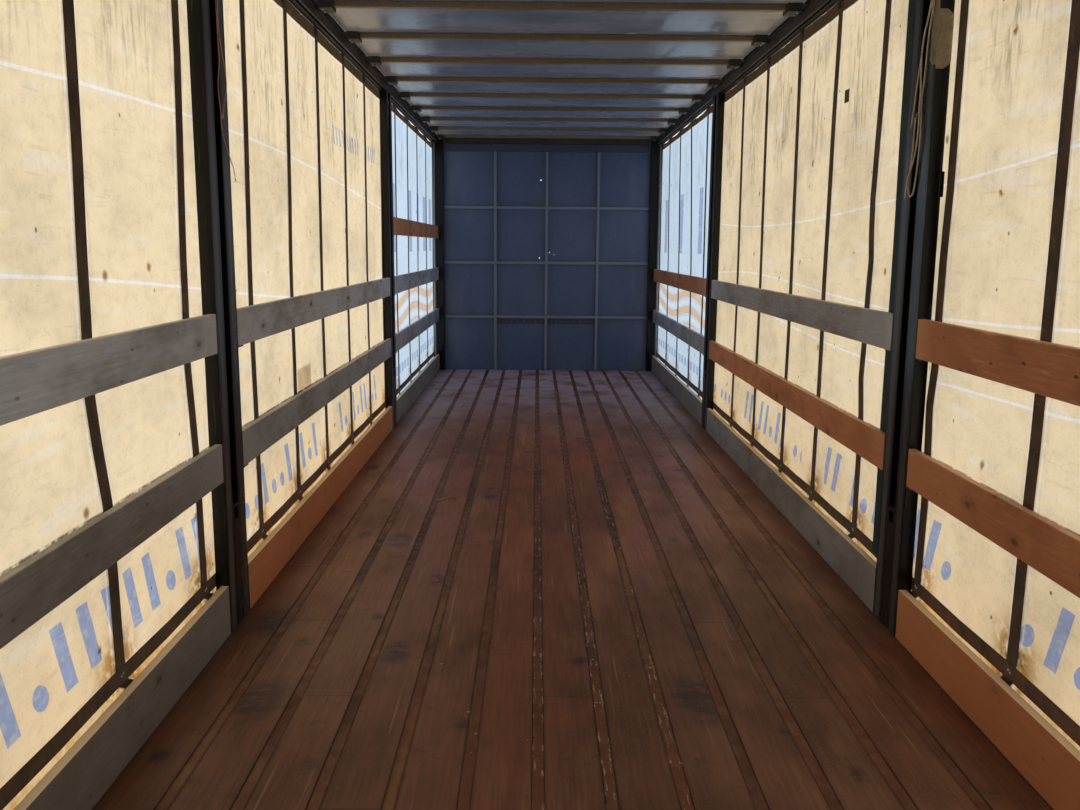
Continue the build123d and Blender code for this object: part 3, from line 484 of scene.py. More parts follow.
def hangCurtain(name, side, material, c):
    # across the body: the straps' plane, plus a bulge that dies away at each strap, plus soft upright folds
    low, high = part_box("curtain_" + name)
    share = np.linspace(0, 1, c["rows"])[:, None]
    along = np.linspace(low.y, high.y, c["columns"])[None, :]
    foot = low.z + c["footWave"] * np.sin(along * 9.0 + side) * np.sin(along * 3.7)
    hangers = strapPlaces(name, np.array(strapHeights[-1:]))[:, 0]
    toHanger = np.min(np.abs(along[..., None] - hangers), axis=-1)
    inFront = np.clip((along - eyeY - c["looseFrom"]) / 0.5, 0, 1)
    sag = c["topSag"] * np.clip(toHanger / c["sagReach"], 0, 1) ** 1.5 * (0.2 + 1.1 * inFront)
    height = foot + share * (high.z - sag - foot)
    straps = strapPlaces(name, (height - deckTop).mean(axis=1))
    gap = np.min(np.abs(along[..., None] - straps.T[:, None, :]), axis=-1)
    loose = 1 - np.exp(-((gap / c["pinch"]) ** 2))
    belly = np.sin(np.pi * np.clip(share * 0.94 + 0.03, 0, 1)) ** 0.4
    folds = np.abs(creases(along, height * 1.4, 2.0 + side))
    out = loose * (c["bulge"] * belly + c["fold"] * folds)
    across = side * ((high.x if side > 0 else -low.x) - c["plane"] + out)
    places = np.stack([across, along + 0 * gap, height], axis=-1)
    sheet = Shape()
    sheet.grid(places[:, ::side], strapGap=gap[:, ::side])
    made = sheet.piece("curtain_cloth_" + name, material, "curtain_cloth")
    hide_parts("curtain_" + name)
    return made


def strapWebbing(side, name, material, c):
    # flat ribbons: each strap stands upright along its places, plus a small sine ripple
    low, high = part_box("curtain_straps")
    heights = np.linspace(low.z, high.z, c["strapSteps"])
    centre = high.x - c["strapThick"] / 2
    webbing = Shape()
    for number, along in enumerate(strapPlaces(name, heights - deckTop)):
        line = side * centre, along + c["ripple"] * np.sin(heights * 11.0 + number), heights
        webbing.ribbon(
            line, (side * c["strapThick"] / 2, 0, 0), (0, side * c["strapHalf"], 0),
            [(-1, -1), (1, -1), (1, 1), (-1, 1)], heights - heights[0],
        )
    # the band along the foot lies over the straps: its height, less a sag between them, plus a slow sine
    middles = strapPlaces(name, np.array([c["bandHeight"]]))[:, 0]
    run = np.linspace(middles.min() - c["bandEnd"], middles.max() + c["bandEnd"], c["bandSteps"])
    toStrap = np.min(np.abs(run[:, None] - middles), axis=1)
    sag = c["bandSag"] * np.clip(toStrap / c["bandReach"], 0, 1) ** 1.6
    level = deckTop + c["bandHeight"] - sag + c["bandWave"] * np.sin(run * 1.7 + side)
    inner = centre - c["strapThick"] / 2 - c["bandClear"] - c["bandThick"] / 2
    webbing.ribbon(
        (side * inner, run, level), (side * c["bandThick"] / 2, 0, 0), (0, 0, side * c["bandWidth"] / 2),
        [(-1, 1), (1, 1), (1, -1), (-1, -1)], run - run[0],
    )
    made = webbing.piece("strap_webbing_" + name, material, "strap_webbing", smooth=False)
    return made, middles, level, run


webbingLook = dict(rib=0.0045, brown=linear(104, 82, 66), dark=linear(70, 56, 47), dust=linear(140, 118, 96))


def webbingMaterial(c):
    # woven ribs across the strap, darker selvedges and caked dust
    g = Graph("strapWebbing")
    along, across = g.value("along"), g.value("across")
    rib = (along * (2 * np.pi / c["rib"])).made("SINE")
    yarn = (across * 28.0).made("SINE")
    tone = g.mix(g.noise(0.11, 5, 0.65).ramp(0.35, 0.7), c["brown"], c["dark"])
    tone = g.mix(g.noise(0.03, 4, 0.7, (1, 1, 0.4), 2.0).ramp(0.55, 0.75) * 0.5, tone, c["dust"])
    tone = g.shade(tone, across.made("ABSOLUTE").ramp(0.80, 0.95, 1.0, 0.72) * (1.0 + rib * 0.10))
    normal = g.bump(rib * 0.6 + yarn * 0.3, 0.0006, 0.6)
    return g.done(g.surface(colour=tone, rough=0.85, normal=normal, sheen=0.15, specular=0.25))


# roof cover: coated cloth over the bows, sagging and a little creased between them
coverHang = dict(columns=110, perBow=14, sag=0.013, fold=0.0035, below=0.0035, bowHalf=0.030, arch=0.09)


def hangCover(material, c):
    # the height is the bows' top line less a soft arch between two bows, plus shallow creases
    low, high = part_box("roof_cover")
    marks = np.concatenate([[high.y], bowMiddles, [low.y]])
    bays = zip(marks, marks[1:])
    rows = [np.linspace(ahead, behind, c["perBow"], endpoint=False) for ahead, behind in bays]
    along = np.append(np.concatenate(rows), low.y)[:, None]
    across = np.linspace(low.x, high.x, c["columns"])[None, :]
    toBow = np.min(np.abs(along[..., None] - bowMiddles), axis=-1)
    arch = 1 - np.exp(-((np.clip(toBow - c["bowHalf"], 0, 1) / c["arch"]) ** 2))
    wave = np.sin(across * 7.0 + along * 1.9) * np.sin(across * 2.3 - along * 3.1)
    folds = creases(across * 1.4, along * 2.0, 4.0)
    height = high.z - c["below"] - arch * (c["sag"] * (0.80 + 0.20 * wave) - c["fold"] * folds)
    sheet = Shape()
    sheet.grid(np.stack([across + 0 * along, along + 0 * across, height], axis=-1), toBow=toBow + 0 * across)
    made = sheet.piece("roof_cloth", material, "cover_cloth")
    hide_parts("roof_cover")
    return made


coverLook = dict(
    # the second colour on the next line is a painted reflection of the cream curtains near the sides
    thick=(0.12, 0.15, 0.22), curtainGlow=(0.62, 0.50, 0.34), share=0.16,
    outside=linear(124, 133, 156), dirty=linear(90, 94, 106),
    # the last colour on the next line is painted shade where the cloth meets the bows
    streak=linear(58, 52, 48), bowShade=linear(34, 29, 26),
)


def coverMaterial(c):
    # grey coated cloth, glossy below, darker where it touches the bows as painted shade, and glowing cream
    # near the sides as a painted reflection of the curtains
    g = Graph("coverCloth")
    toBow, fromMiddle = g.value("toBow"), g.axes()[0].made("ABSOLUTE")
    blotch = g.noise(0.42, 2, 0.6, (0.45, 1, 1))
    streak = g.noise(0.06, 2, 0.65, (0.30, 1, 1), 4.0)
    # painted shade: darker where the cloth meets each bow
    bowShade = toBow.ramp(0.050, 0.026)
    body = g.mix(blotch.ramp(0.36, 0.66), c["dirty"], c["outside"])
    body = g.mix(streak.ramp(0.55, 0.75) * 0.16, body, c["streak"])
    body = g.mix(bowShade * 0.85, body, c["bowShade"])
    normal = g.bump(blotch, 0.010, 0.35)
    rough = blotch.ramp(0.3, 0.7, 0.22, 0.30)
    face = g.surface(colour=body, rough=rough, normal=normal, specular=1.0)
    # painted reflection: the cloth glows cream towards the sides, standing for the curtains' light
    curtainGlow = fromMiddle.ramp(0.85, 1.16) * (1 - bowShade) * 0.55
    glowing = g.between(curtainGlow, g.through(c["thick"], normal), g.through(c["curtainGlow"], normal))
    return g.done(g.between(c["share"], face, glowing))


# deck: resin-faced boards between steel strips
deckLook = dict(
    boards=13, strip=0.036, sheet=2.44, brown=linear(121, 77, 53), red=linear(127, 75, 51),
    worn=linear(150, 112, 90), grime=linear(52, 36, 30), rust=linear(118, 72, 50), oily=linear(30, 20, 17),
    drip=linear(30, 20, 18), scuff=linear(196, 160, 134), dust=linear(186, 164, 140),
    # the first colour on the next line is a painted reflection of the front bays on the far deck
    farSheen=linear(186, 164, 178), ochre=linear(150, 112, 72), gap=linear(34, 24, 20),
    paleDust=linear(218, 192, 164),
    # marks: place across, distance from the camera, size
    oil=(
        (-0.938, 4.49, 0.045), (-0.757, 4.41, 0.090), (-0.521, 3.86, 0.050), (-1.152, 5.94, 0.060),
        (-0.363, 5.22, 0.055), (0.562, 4.44, 0.035), (-0.959, 2.77, 0.110), (0.413, 2.79, 0.120),
        (-0.592, 3.13, 0.070), (-1.080, 3.40, 0.100),
    ),
)


def deckMaterial(c):
    g = Graph("deckPly")
    x, y, z = g.axes()
    low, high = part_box("deck_boards")
    step = (high.x - low.x + c["strip"]) / c["boards"]
    place = (x - low.x) / step
    board = place.made("FLOOR")
    inBoard = (place - board) * step
    sheet = ((y + board * 0.61) / c["sheet"]).made("FLOOR")
    tone = g.mix(g.chance(board, sheet), c["brown"], c["red"])
    tone = g.shade(tone, g.chance(sheet, board).ramp(0.0, 1.0, 0.92, 1.06))
    # grime in clouds and along each board's edges, rubbed tracks, long scuffs and dark drips
    clouds = g.noise(0.55, 3, 0.7, (1, 0.55, 1)).ramp(0.38, 0.70)
    tone = g.mix(clouds * 0.54, tone, c["grime"])
    rubbed = g.noise(0.22, 3, 0.6, (1, 0.22, 1), 2.0).ramp(0.50, 0.74)
    tone = g.mix(rubbed * 0.45, tone, c["worn"])
    grain = g.noise(0.010, 1, 0.65, (1, 0.05, 1), 3.0).ramp(0.30, 0.70, 0.84, 1.12)
    tone = g.shade(tone, grain)
    edge = inBoard.ramp(0.009, 0.0) + inBoard.ramp(step - c["strip"] - 0.009, step - c["strip"])
    edge = (edge * (0.30 + clouds * 0.55)).made("MINIMUM", 1.0)
    tone = g.mix(edge, tone, c["grime"])
    butt = ((y + board * 0.61) % c["sheet"]).ramp(0.006, 0.002)
    tone = g.mix(butt * 0.85, tone, c["grime"])
    blots = g.noise(0.05, 3, 0.75, (0.45, 0.9, 1), 12.0)
    tone = g.mix(blots.ramp(0.54, 0.74) * 0.34, tone, c["grime"])
    # painted light: the deck turns lighter from 1.6 m to 4.8 m ahead of the camera
    shade = (y - eyeY).ramp(1.6, 4.8, 0.92, 1.40)
    tone = g.shade(tone, shade)
    # painted reflection: greyer and bluer patches from 6.4 m ahead of the camera on, standing for the front
    # bays' light on the deck
    settled = (y - eyeY).ramp(6.4, 10.4) * g.noise(0.35, 2, shift=13.0).ramp(0.26, 0.58)
    tone = g.mix(settled * 0.88, tone, c["farSheen"])
    oil = 0.0
    for offX, offY, size in c["oil"]:
        awayX, awayY = x - offX, (y - eyeY - offY) * 0.55
        oil = oil + (awayX * awayX + awayY * awayY).made("SQRT").ramp(size, size * 0.35)
    oil = (oil * blots.ramp(0.30, 0.55)).made("MINIMUM", 1.0)
    tone = g.mix(oil * 0.72, tone, c["oily"])
    drips = g.flatCells(x, y * 0.7, 0.52).ramp(0.075, 0.02) * blots.ramp(0.36, 0.6)
    tone = g.mix(drips * 0.7, tone, c["drip"])
    scuff = g.noise(0.018, 1, 0.5, (1, 0.03, 1), 6.0).ramp(0.68, 0.78)
    tone = g.mix(scuff * 0.30, tone, c["scuff"])
    dust = g.noise(0.006, 1, 0.7, shift=7.0).ramp(0.60, 0.76) * clouds
    tone = g.mix(dust * 0.35, tone, c["dust"])
    rough = 0.42 + clouds * 0.16 + rubbed * 0.10
    normal = g.bump(grain * 0.35 + g.noise(0.12, 1, 0.6, (1, 0.4, 1), 10.0) * 1.2, 0.0012, 0.7)
    return g.done(g.surface(colour=tone, rough=rough, normal=normal, specular=0.45))


def stripMaterial(c):
    # rust-brown steel, rubbed paler along the middle, darker against the boards, with pale dust in patches
    g = Graph("stripSteel")
    x, y, z = g.axes()
    low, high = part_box("deck_boards")
    step = (high.x - low.x + c["strip"]) / c["boards"]
    fromMiddle = (((x - low.x + c["strip"] / 2) / step + 0.5) % 1.0 - 0.5).made("ABSOLUTE") * step
    tone = g.mix(g.noise(0.25, 3, 0.65, (1, 0.2, 1)).ramp(0.35, 0.7), c["rust"], c["brown"])
    tone = g.mix(g.noise(0.30, 2, 0.6, (1, 0.25, 1), 8.0).ramp(0.46, 0.66) * 0.6, tone, c["grime"])
    ochre = g.noise(0.20, 2, 0.65, (1, 0.25, 1), 9.0).ramp(0.54, 0.68) * fromMiddle.ramp(0.014, 0.006)
    tone = g.mix(ochre * 0.6, tone, c["ochre"])
    lined = g.noise(0.20, 3, 0.7, (1, 0.25, 1), 10.0).ramp(0.32, 0.62, 0.15, 0.90)
    tone = g.mix(fromMiddle.ramp(0.0125, 0.0165) * lined, tone, c["gap"])
    middle = x.near(0.1, 0.24, 0.10) * (y - eyeY).near(5.6, 3.4, 0.9)
    dust = g.noise(0.011, 3, 0.75, (1, 0.16, 1), 3.0).ramp(0.55, 0.63) * fromMiddle.near(0.011, 0.0035, 0.003)
    tone = g.mix((dust * (0.10 + middle * 0.90)).made("MINIMUM", 1.0) * 0.62, tone, c["paleDust"])
    normal = g.bump(g.noise(0.006, 2, 0.7, (1, 0.4, 1), 5.0), 0.0006, 0.6)
    rough = g.noise(0.05, 4, shift=6.0).ramp(0.3, 0.7, 0.45, 0.75)
    return g.done(g.surface(colour=tone, rough=rough, metal=0.25, normal=normal))


def boardMaterial(name, c):
    # sawn wood: grain along the body, knots, a tone for each board, worn ends and edges, dark dots
    g = Graph(name)
    x, y, z = g.axes()
    above = z - deckTop
    bay = sum((y < float(middle)) * 1.0 for middle in postMiddles)
    level = ((above - 0.40) / c["pitch"]).made("FLOOR")
    own = g.chance(bay, level, x > 0.0)
    tone = g.mix(own, c["first"], c["second"])
    tone = g.shade(tone, own.ramp(0.0, 1.0, 0.88, 1.10))
    rings = g.noise(0.040, 2, 0.6, (1, 0.05, 1), 1.0)
    figure = ((z + rings * 0.05) * (2 * np.pi / 0.019)).made("SINE")
    tone = g.shade(tone, figure.ramp(-1.0, 1.0, 0.95, 1.03))
    fibre = g.noise(0.0055, 2, 0.7, (1, 0.045, 1), 2.0)
    tone = g.shade(tone, fibre.ramp(0.25, 0.75, 0.89, 1.08))
    blotch = g.noise(0.30, 4, 0.74, (1, 0.45, 1), 3.0)
    patches = blotch.ramp(0.38, 0.66)
    tone = g.mix(patches * 0.62, tone, c["stain"])
    knotAt = g.flatCells(y * 0.5 + bay * 0.37, z + (x > 0.0) * 1.7, 0.31)
    tone = g.mix(knotAt.ramp(0.12, 0.04) * 0.35, tone, c["knot"])
    tone = g.mix(knotAt.ramp(0.040, 0.022) * 0.85, tone, c["knotHole"])
    dots = g.flatCells(y * 0.45 - bay * 0.53, z + (x > 0.0) * 0.9, 0.12).ramp(0.050, 0.024)
    tone = g.mix(dots * c["dotted"], tone, c["dot"])
    # ends rubbed by the posts, and sharp edges gone pale
    ends = sum((y - float(middle)).near(0.0, postHalf + 0.02, 0.14) for middle in postMiddles)
    tone = g.mix(ends * blotch.ramp(0.42, 0.58) * 0.5, tone, c["worn"])
    wide = sum((y - float(middle)).near(0.0, postHalf + 0.10, 0.60) for middle in postMiddles)
    tone = g.mix(wide * 0.34, tone, c["second"])
    inSlat = (above - c["lowEdge"]) % c["pitch"]
    rim = inSlat.ramp(0.006, 0.0) + inSlat.near(c["height"], 0.002, 0.005)
    rim = rim * blotch.ramp(0.56, 0.42)
    tone = g.mix((rim * 0.6).made("MINIMUM", 1.0), tone, c["worn"])
    scrape = g.noise(0.011, 1, 0.5, (1, 0.08, 1), 7.0).ramp(0.66, 0.76)
    tone = g.mix(scrape * 0.45, tone, c["worn"])
    # top faces lighter: a painted highlight, mostly on the kickboards; and painted shade: the kickboards
    # darker towards the deck and the lower boards darker
    top = g.facing()[2].ramp(0.6, 0.95)
    # painted shade: the lowest slat darker, and the kickboards darker towards the deck
    lowSlatShade = above.near(0.635, 0.09, 0.02).ramp(0, 1, 1.0, 0.88)
    tone = g.shade(tone, above.ramp(0.0, 0.165, 0.88, 1.14) * lowSlatShade)
    # painted shade: below a metre the boards turn towards the low tone
    tone = g.mix(above.ramp(1.0, 0.2) * 0.62, tone, c["low"])
    tone = g.mix(top * above.ramp(0.30, 0.20, 0.10, 0.95), tone, c["topHighlight"])
    rough = 0.72 + patches * 0.1 - top * 0.3
    normal = g.bump(fibre * 0.8, 0.0008, 0.8)
    return g.done(g.surface(colour=tone, rough=rough, normal=normal, specular=0.35))


# slats: the lowest one's foot above the deck, their height and their pitch
anyBoard = dict(
    lowEdge=0.5665, height=0.137, pitch=0.457,
    # the last colour on the next line is a painted highlight for top faces
    knotHole=linear(34, 22, 16), dot=linear(34, 26, 22), topHighlight=linear(255, 232, 196),
)
# the low colour in each board look is painted shade, the tone the lower boards turn to
greyBoard = dict(
    anyBoard, first=linear(164, 165, 174), second=linear(192, 202, 224), stain=linear(114, 106, 102),
    knot=linear(96, 82, 72), worn=linear(206, 198, 188), low=linear(108, 96, 78), dotted=0.50,
)
brownBoard = dict(
    anyBoard, first=linear(196, 130, 94), second=linear(218, 154, 116), stain=linear(140, 88, 62),
    knot=linear(96, 52, 36), worn=linear(222, 172, 138), low=linear(206, 134, 92), dotted=0.75,
)


paintUsual = dict(
    cloud=0.35, stretch=(1, 1, 0.5), dusty=0.5, settled=0.7, scratched=(1, 1, 0.06), scratches=0.35,
    bare=linear(150, 148, 144), rust=linear(112, 60, 32), rustFrom=0.64, rough=0.45, metal=0.0,
    specular=0.5, dents=0.0015, ribbed=False, ridgeHighlight=None,
)


def paintMaterial(name, own):
    # painted steel: cloudy dust, more on what faces up, fine scratches, chipped and rusted patches
    c = dict(paintUsual, **own)
    g = Graph(name)
    x, y, z = g.axes()
    towards = g.facing()
    clouded = g.noise(c["cloud"], 3, 0.65, c["stretch"], 1.0)
    cloud = clouded.ramp(0.36, 0.70)
    tone = g.mix(cloud * c["dusty"], c["paint"], c["dust"])
    upward = towards[2].ramp(0.4, 0.9) * clouded.ramp(0.3, 0.6)
    tone = g.mix(upward * c["settled"], tone, c["dust"])
    fine = g.noise(0.012, 2, 0.7, shift=3.0)
    tone = g.shade(tone, fine.ramp(0.3, 0.7, 0.86, 1.12))
    if c["ribbed"]:
        # painted reflection: lighter upright smudges over the headboard
        pale = g.noise(0.30, 2, 0.6, (1, 1, 0.35), 7.0).ramp(0.36, 0.68)
        tone = g.mix(pale * 0.30, tone, c["panelSheen"])
        # painted reflection: lighter towards the outer columns, in cloudy patches
        tone = g.mix(x.made("ABSOLUTE").ramp(0.62, 1.02) * cloud * 0.35, tone, c["outerSheen"])
        # painted highlight: the ribs in front of the sheet lighter
        tone = g.mix((y < headSheetY - 0.002) * 0.72, tone, c["crest"])
    # painted highlight: pale bands down the post flanges on both sides of the groove
    if c["ridgeHighlight"]:
        fromPost = sum(
            (y - float(middle)).near(0.0, 0.090, 0.012) - (y - float(middle)).near(0.0, 0.046, 0.014)
            for middle in postMiddles
        )
        ridgeLight = fromPost * towards[0].made("ABSOLUTE").ramp(0.8, 0.98) * clouded.ramp(0.3, 0.6, 0.35, 1.0)
        tone = g.mix(ridgeLight * 0.75, tone, c["ridgeHighlight"])
        # painted shade: faces turned towards the rear darker
        tone = g.shade(tone, towards[1].ramp(-0.9, -0.5, 0.42, 1.0))
    scratch = g.noise(0.010, 1, 0.5, c["scratched"], 4.0).ramp(0.67, 0.77)
    tone = g.mix(scratch * c["scratches"], tone, c["bare"])
    rusted = g.noise(0.16, 3, 0.78, shift=5.0).ramp(c["rustFrom"], c["rustFrom"] + 0.06)
    tone = g.mix(rusted * 0.8, tone, c["rust"])
    rough = c["rough"] + cloud * 0.2 + rusted * 0.2
    normal = g.bump(g.noise(0.05, 1, 0.6, shift=6.0) * 0.7, c["dents"], 0.5)
    finish = dict(colour=tone, rough=rough, metal=c["metal"], normal=normal, specular=c["specular"])
    if c["ribbed"]:
        # painted light: glowing spots where daylight would come through rust holes in the headboard
        holes = 0.0
        for across, height, size in c["holes"]:
            offX, offZ = x - across, z - (deckTop + height)
            holes = holes + (offX * offX + offZ * offZ).made("SQRT").ramp(size + 0.002, size - 0.001)
        holes = holes.made("MINIMUM", 1.0) * (y < headSheetY + 0.004)
        finish["glow"] = g.mix(holes, (0.0, 0.0, 0.0), c["daylight"])
        finish["glowStrength"] = 1.0
    return g.done(g.surface(**finish))


zincLook = dict(
    spangle=0.014, zinc=linear(150, 153, 157), bloom=linear(178, 178, 174), rust=linear(120, 70, 40),
)


def zincMaterial(c):
    # hot-dipped zinc: dull spangles, white bloom and a little rust
    g = Graph("galvanised")
    spangle = g.put("ShaderNodeTexVoronoi", sockets={"Vector": g.place(), "Scale": 1.0 / c["spangle"]}, out=1)
    tone = g.mix(0.22, c["zinc"], g.mix(1.0, spangle, (0.6, 0.6, 0.6), "MULTIPLY"))
    bloom = g.noise(0.12, 6, 0.7).ramp(0.45, 0.68)
    tone = g.mix(bloom * 0.5, tone, c["bloom"])
    rusted = g.noise(0.09, 8, 0.75, shift=3.0).ramp(0.63, 0.71)
    tone = g.mix(rusted * 0.8, tone, c["rust"])
    rough = 0.42 + bloom * 0.25 + rusted * 0.2
    metal = 0.75 - bloom * 0.3 - rusted * 0.6
    normal = g.bump(g.noise(0.01, 3), 0.0006, 0.5)
    return g.done(g.surface(colour=tone, rough=rough, metal=metal, normal=normal))


doorLook = dict(
    white=linear(222, 223, 221), grey=linear(206, 207, 203), streak=linear(150, 144, 132),
    film=linear(120, 108, 94), chip=linear(126, 84, 58),
)


def doorMaterial(c):
    # white coated panel: rain streaks, road film rising from the foot, small chips
    g = Graph("doorPanel")
    above = g.axes()[2] - deckTop
    tone = g.mix(g.noise(0.8, 4).ramp(0.35, 0.7) * 0.5, c["white"], c["grey"])
    streaks = g.noise(0.05, 5, 0.65, (1, 1, 0.05), 2.0).ramp(0.48, 0.72)
    tone = g.mix(streaks * 0.34, tone, c["streak"])
    film = above.ramp(0.9, 0.0) * g.noise(0.25, 5, 0.65, shift=3.0).ramp(0.30, 0.62)
    tone = g.mix(film * 0.55, tone, c["film"])
    chips = g.noise(0.03, 6, 0.75, shift=4.0).ramp(0.70, 0.74)
    tone = g.mix(chips * 0.7, tone, c["chip"])
    normal = g.bump(g.noise(0.25, 3, shift=5.0) + g.noise(0.01, 3, shift=6.0) * 0.1, 0.002, 0.4)
    return g.done(g.surface(colour=tone, rough=0.34 + streaks * 0.2 + film * 0.2, normal=normal, coat=0.15))


rubberLook = dict(black=linear(34, 34, 34), dust=linear(96, 90, 82))


def rubberMaterial(c):
    g = Graph("sealRubber")
    dust = g.noise(0.1, 6, 0.7).ramp(0.4, 0.7)
    tone = g.mix(dust * 0.5, c["black"], c["dust"])
    normal = g.bump(g.noise(0.006, 3), 0.0005, 0.5)
    return g.done(g.surface(colour=tone, rough=0.7 + dust * 0.15, normal=normal))


cloth = clothMaterial(clothLook)
webbing = webbingMaterial(webbingLook)
cover = coverMaterial(coverLook)
roadDust = linear(122, 108, 92)
finishes = {
    "frame_steel": paintMaterial("frameSteel", dict(
        paint=linear(66, 68, 72), dust=roadDust, dusty=0.55, rustFrom=0.60, stretch=(1, 0.4, 1), rough=0.5,
    )),
    "galvanised": zincMaterial(zincLook),
    "deck_ply": deckMaterial(deckLook),
    "strip_steel": stripMaterial(deckLook),
    "board_grey": boardMaterial("boardGrey", greyBoard),
    "board_brown": boardMaterial("boardBrown", brownBoard),
    "head_paint": paintMaterial("headPaint", dict(
        paint=linear(68, 84, 118), dust=linear(88, 95, 118), dusty=0.35, cloud=0.5, stretch=(1, 1, 0.25),
        scratches=0.2, rustFrom=0.72, rough=0.28, dents=0.008, ribbed=True, daylight=(0.62, 0.80, 1.0),
        # painted light on the headboard: painted reflection in smudges and towards the outer columns, and a
        # painted highlight on the ribs
        panelSheen=linear(88, 98, 122), outerSheen=linear(122, 132, 152), crest=linear(124, 130, 146),
        # glowing painted daylight spots: place across, height above the deck, radius
        holes=((-0.067, 2.130, 0.008), (0.034, 1.334, 0.006), (-0.078, 1.272, 0.007), (0.085, 1.312, 0.004)),
    )),
    "beam_paint": paintMaterial("beamPaint", dict(
        paint=linear(50, 60, 84), dust=linear(70, 72, 84), dusty=0.4, cloud=0.5,
        scratches=0.2, rustFrom=0.66, rough=0.4,
    )),
    "post_paint": paintMaterial("postPaint", dict(
        paint=linear(20, 20, 21), dust=linear(46, 40, 35), dusty=0.26, cloud=0.22, stretch=(1, 1, 0.12),
        scratches=0.22, rustFrom=0.72, rough=0.24, specular=0.25, settled=0.4, bare=linear(96, 94, 92),
        # the next colour is a painted highlight down the post flanges
        ridgeHighlight=linear(92, 92, 100),
    )),
    "rail_paint": paintMaterial("railPaint", dict(
        paint=linear(50, 44, 41), dust=linear(78, 67, 60), dusty=0.5, specular=0.3, stretch=(1, 0.4, 1),
        scratched=(1, 0.06, 1), rustFrom=0.66, rough=0.42, scratches=0.2,
    )),
    "bow_metal": paintMaterial("bowMetal", dict(
        paint=linear(128, 112, 88), dust=linear(102, 88, 68), dusty=0.6, stretch=(0.3, 1, 1),
        scratched=(0.06, 1, 1), scratches=0.25, rustFrom=0.70, rough=0.42, metal=0.3,
    )),
    "carriage_plastic": paintMaterial("carriagePlastic", dict(
        paint=linear(34, 33, 33), dust=linear(92, 82, 70), dusty=0.35, scratches=0.2, rustFrom=0.9, rough=0.5,
    )),
    "strap_webbing": webbing,
    "cover_cloth": cover,
    "door_panel": doorMaterial(doorLook),
    "seal_rubber": rubberMaterial(rubberLook),
    "curtain_cloth": cloth,
}
print("finishes made")

# rounded edges on the metal and wooden pieces, in metres
roundings = {
    "side_posts": 0.003, "post_latches": 0.0015, "front_corner_posts": 0.004, "rear_corner_posts": 0.004,
    "slats_grey": 0.003, "slats_brown": 0.003, "kickboards_grey": 0.003, "kickboards_brown": 0.003,
    "cant_rails": 0.0015, "roof_bows": 0.003, "bow_carriages": 0.004, "headboard_ribs": 0.002,
    "headboard_beam": 0.003, "joint_strips": 0.002, "deck_boards": 0.001, "side_raves": 0.002,
    "front_sill": 0.003, "rear_sill": 0.003, "front_header": 0.003, "rear_header": 0.003,
    "long_bearers": 0.004, "cross_members": 0.002,
    "lock_rods_left": 0.003, "lock_rods_right": 0.003, "door_left": 0.002, "door_right": 0.002,
    "door_hinges_left": 0.002, "door_hinges_right": 0.002,
    "rod_guides_left": 0.0015, "rod_guides_right": 0.0015,
    "hinge_lugs": 0.0015, "curtain_poles": 0.0025, "strap_buckles": 0.0012, "post_carriages": 0.0012,
    "slat_pockets": 0.001, "mounting_plates": 0.0015, "door_seals_left": 0.003, "door_seals_right": 0.003,
}


def roundEdges(piece, width, segments):
    rounded = piece.modifiers.new("rounded", "BEVEL")
    rounded.width = width
    rounded.segments = segments
    return rounded


for name, piece in nodes.items():
    piece.data.materials.clear()
    dark = name in ("headboard_beam", "lashing_rail")
    piece.data.materials.append(finishes["beam_paint" if dark else slotOf[name]])
    if name in roundings:
        joined = piece.modifiers.new("joined", "WELD")
        joined.merge_threshold = 0.00002
        rounded = roundEdges(piece, roundings[name], 2)
        rounded.limit_method = "ANGLE"
        rounded.angle_limit = 0.4
print("finishes given, edges rounded")

bandLines = {}
for name, side in sides.items():
    sideCloth = hangCurtain(name, side, cloth, curtainHang)
    straps, *bandLines[name] = strapWebbing(side, name, webbing, curtainHang)
    if side < 0:
        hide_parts("curtain_straps")
    clothLow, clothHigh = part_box("curtain_" + name)
roofCloth = hangCover(cover, coverHang)
print("curtains, straps and roof cover hung")


# rivets, hooks and other small steel pieces
def turned(profile, centre, axis, columns=10):
    # rows of (radius, distance) turned about an axis: centre + axis * distance + radius * (cos, sin)
    axis = np.array(axis, float) / np.linalg.norm(axis)
    first = np.cross(axis, (0.0, 0.0, 1.0) if abs(axis[2]) < 0.9 else (1.0, 0.0, 0.0))
    first = first / np.linalg.norm(first)
    second = np.cross(axis, first)
    radius, distance = np.array(profile, float).T[:, :, None]
    turn = np.linspace(0, 2 * np.pi, columns, endpoint=False)[None, :, None]
    spokes = radius[..., None] * (np.cos(turn) * first + np.sin(turn) * second)
    return np.array(centre) + distance[..., None] * axis + spokes


def tube(path, radius, columns=8, up=(0.31, 0.22, 0.92)):
    # a ring carried along a path, square to it; radius may change along the path
    path = np.array(path, float)
    ahead = np.gradient(path, axis=0)
    ahead = ahead / np.linalg.norm(ahead, axis=1, keepdims=True)
    first = np.cross(np.array(up), ahead)
    first = first / np.linalg.norm(first, axis=1, keepdims=True)
    second = np.cross(ahead, first)
    turn = np.linspace(0, 2 * np.pi, columns, endpoint=False)[None, :, None]
    radius = np.broadcast_to(np.asarray(radius, float), len(path))[:, None, None]
    return path[:, None] + radius * (np.cos(turn) * first[:, None] + np.sin(turn) * second[:, None])


rivetLook = dict(
    radius=0.0045, height=0.0022, apart=0.011, rise=0.002, x=1.2606, turns=(0.0, 0.45, 0.85, 1.25, 1.54),
)


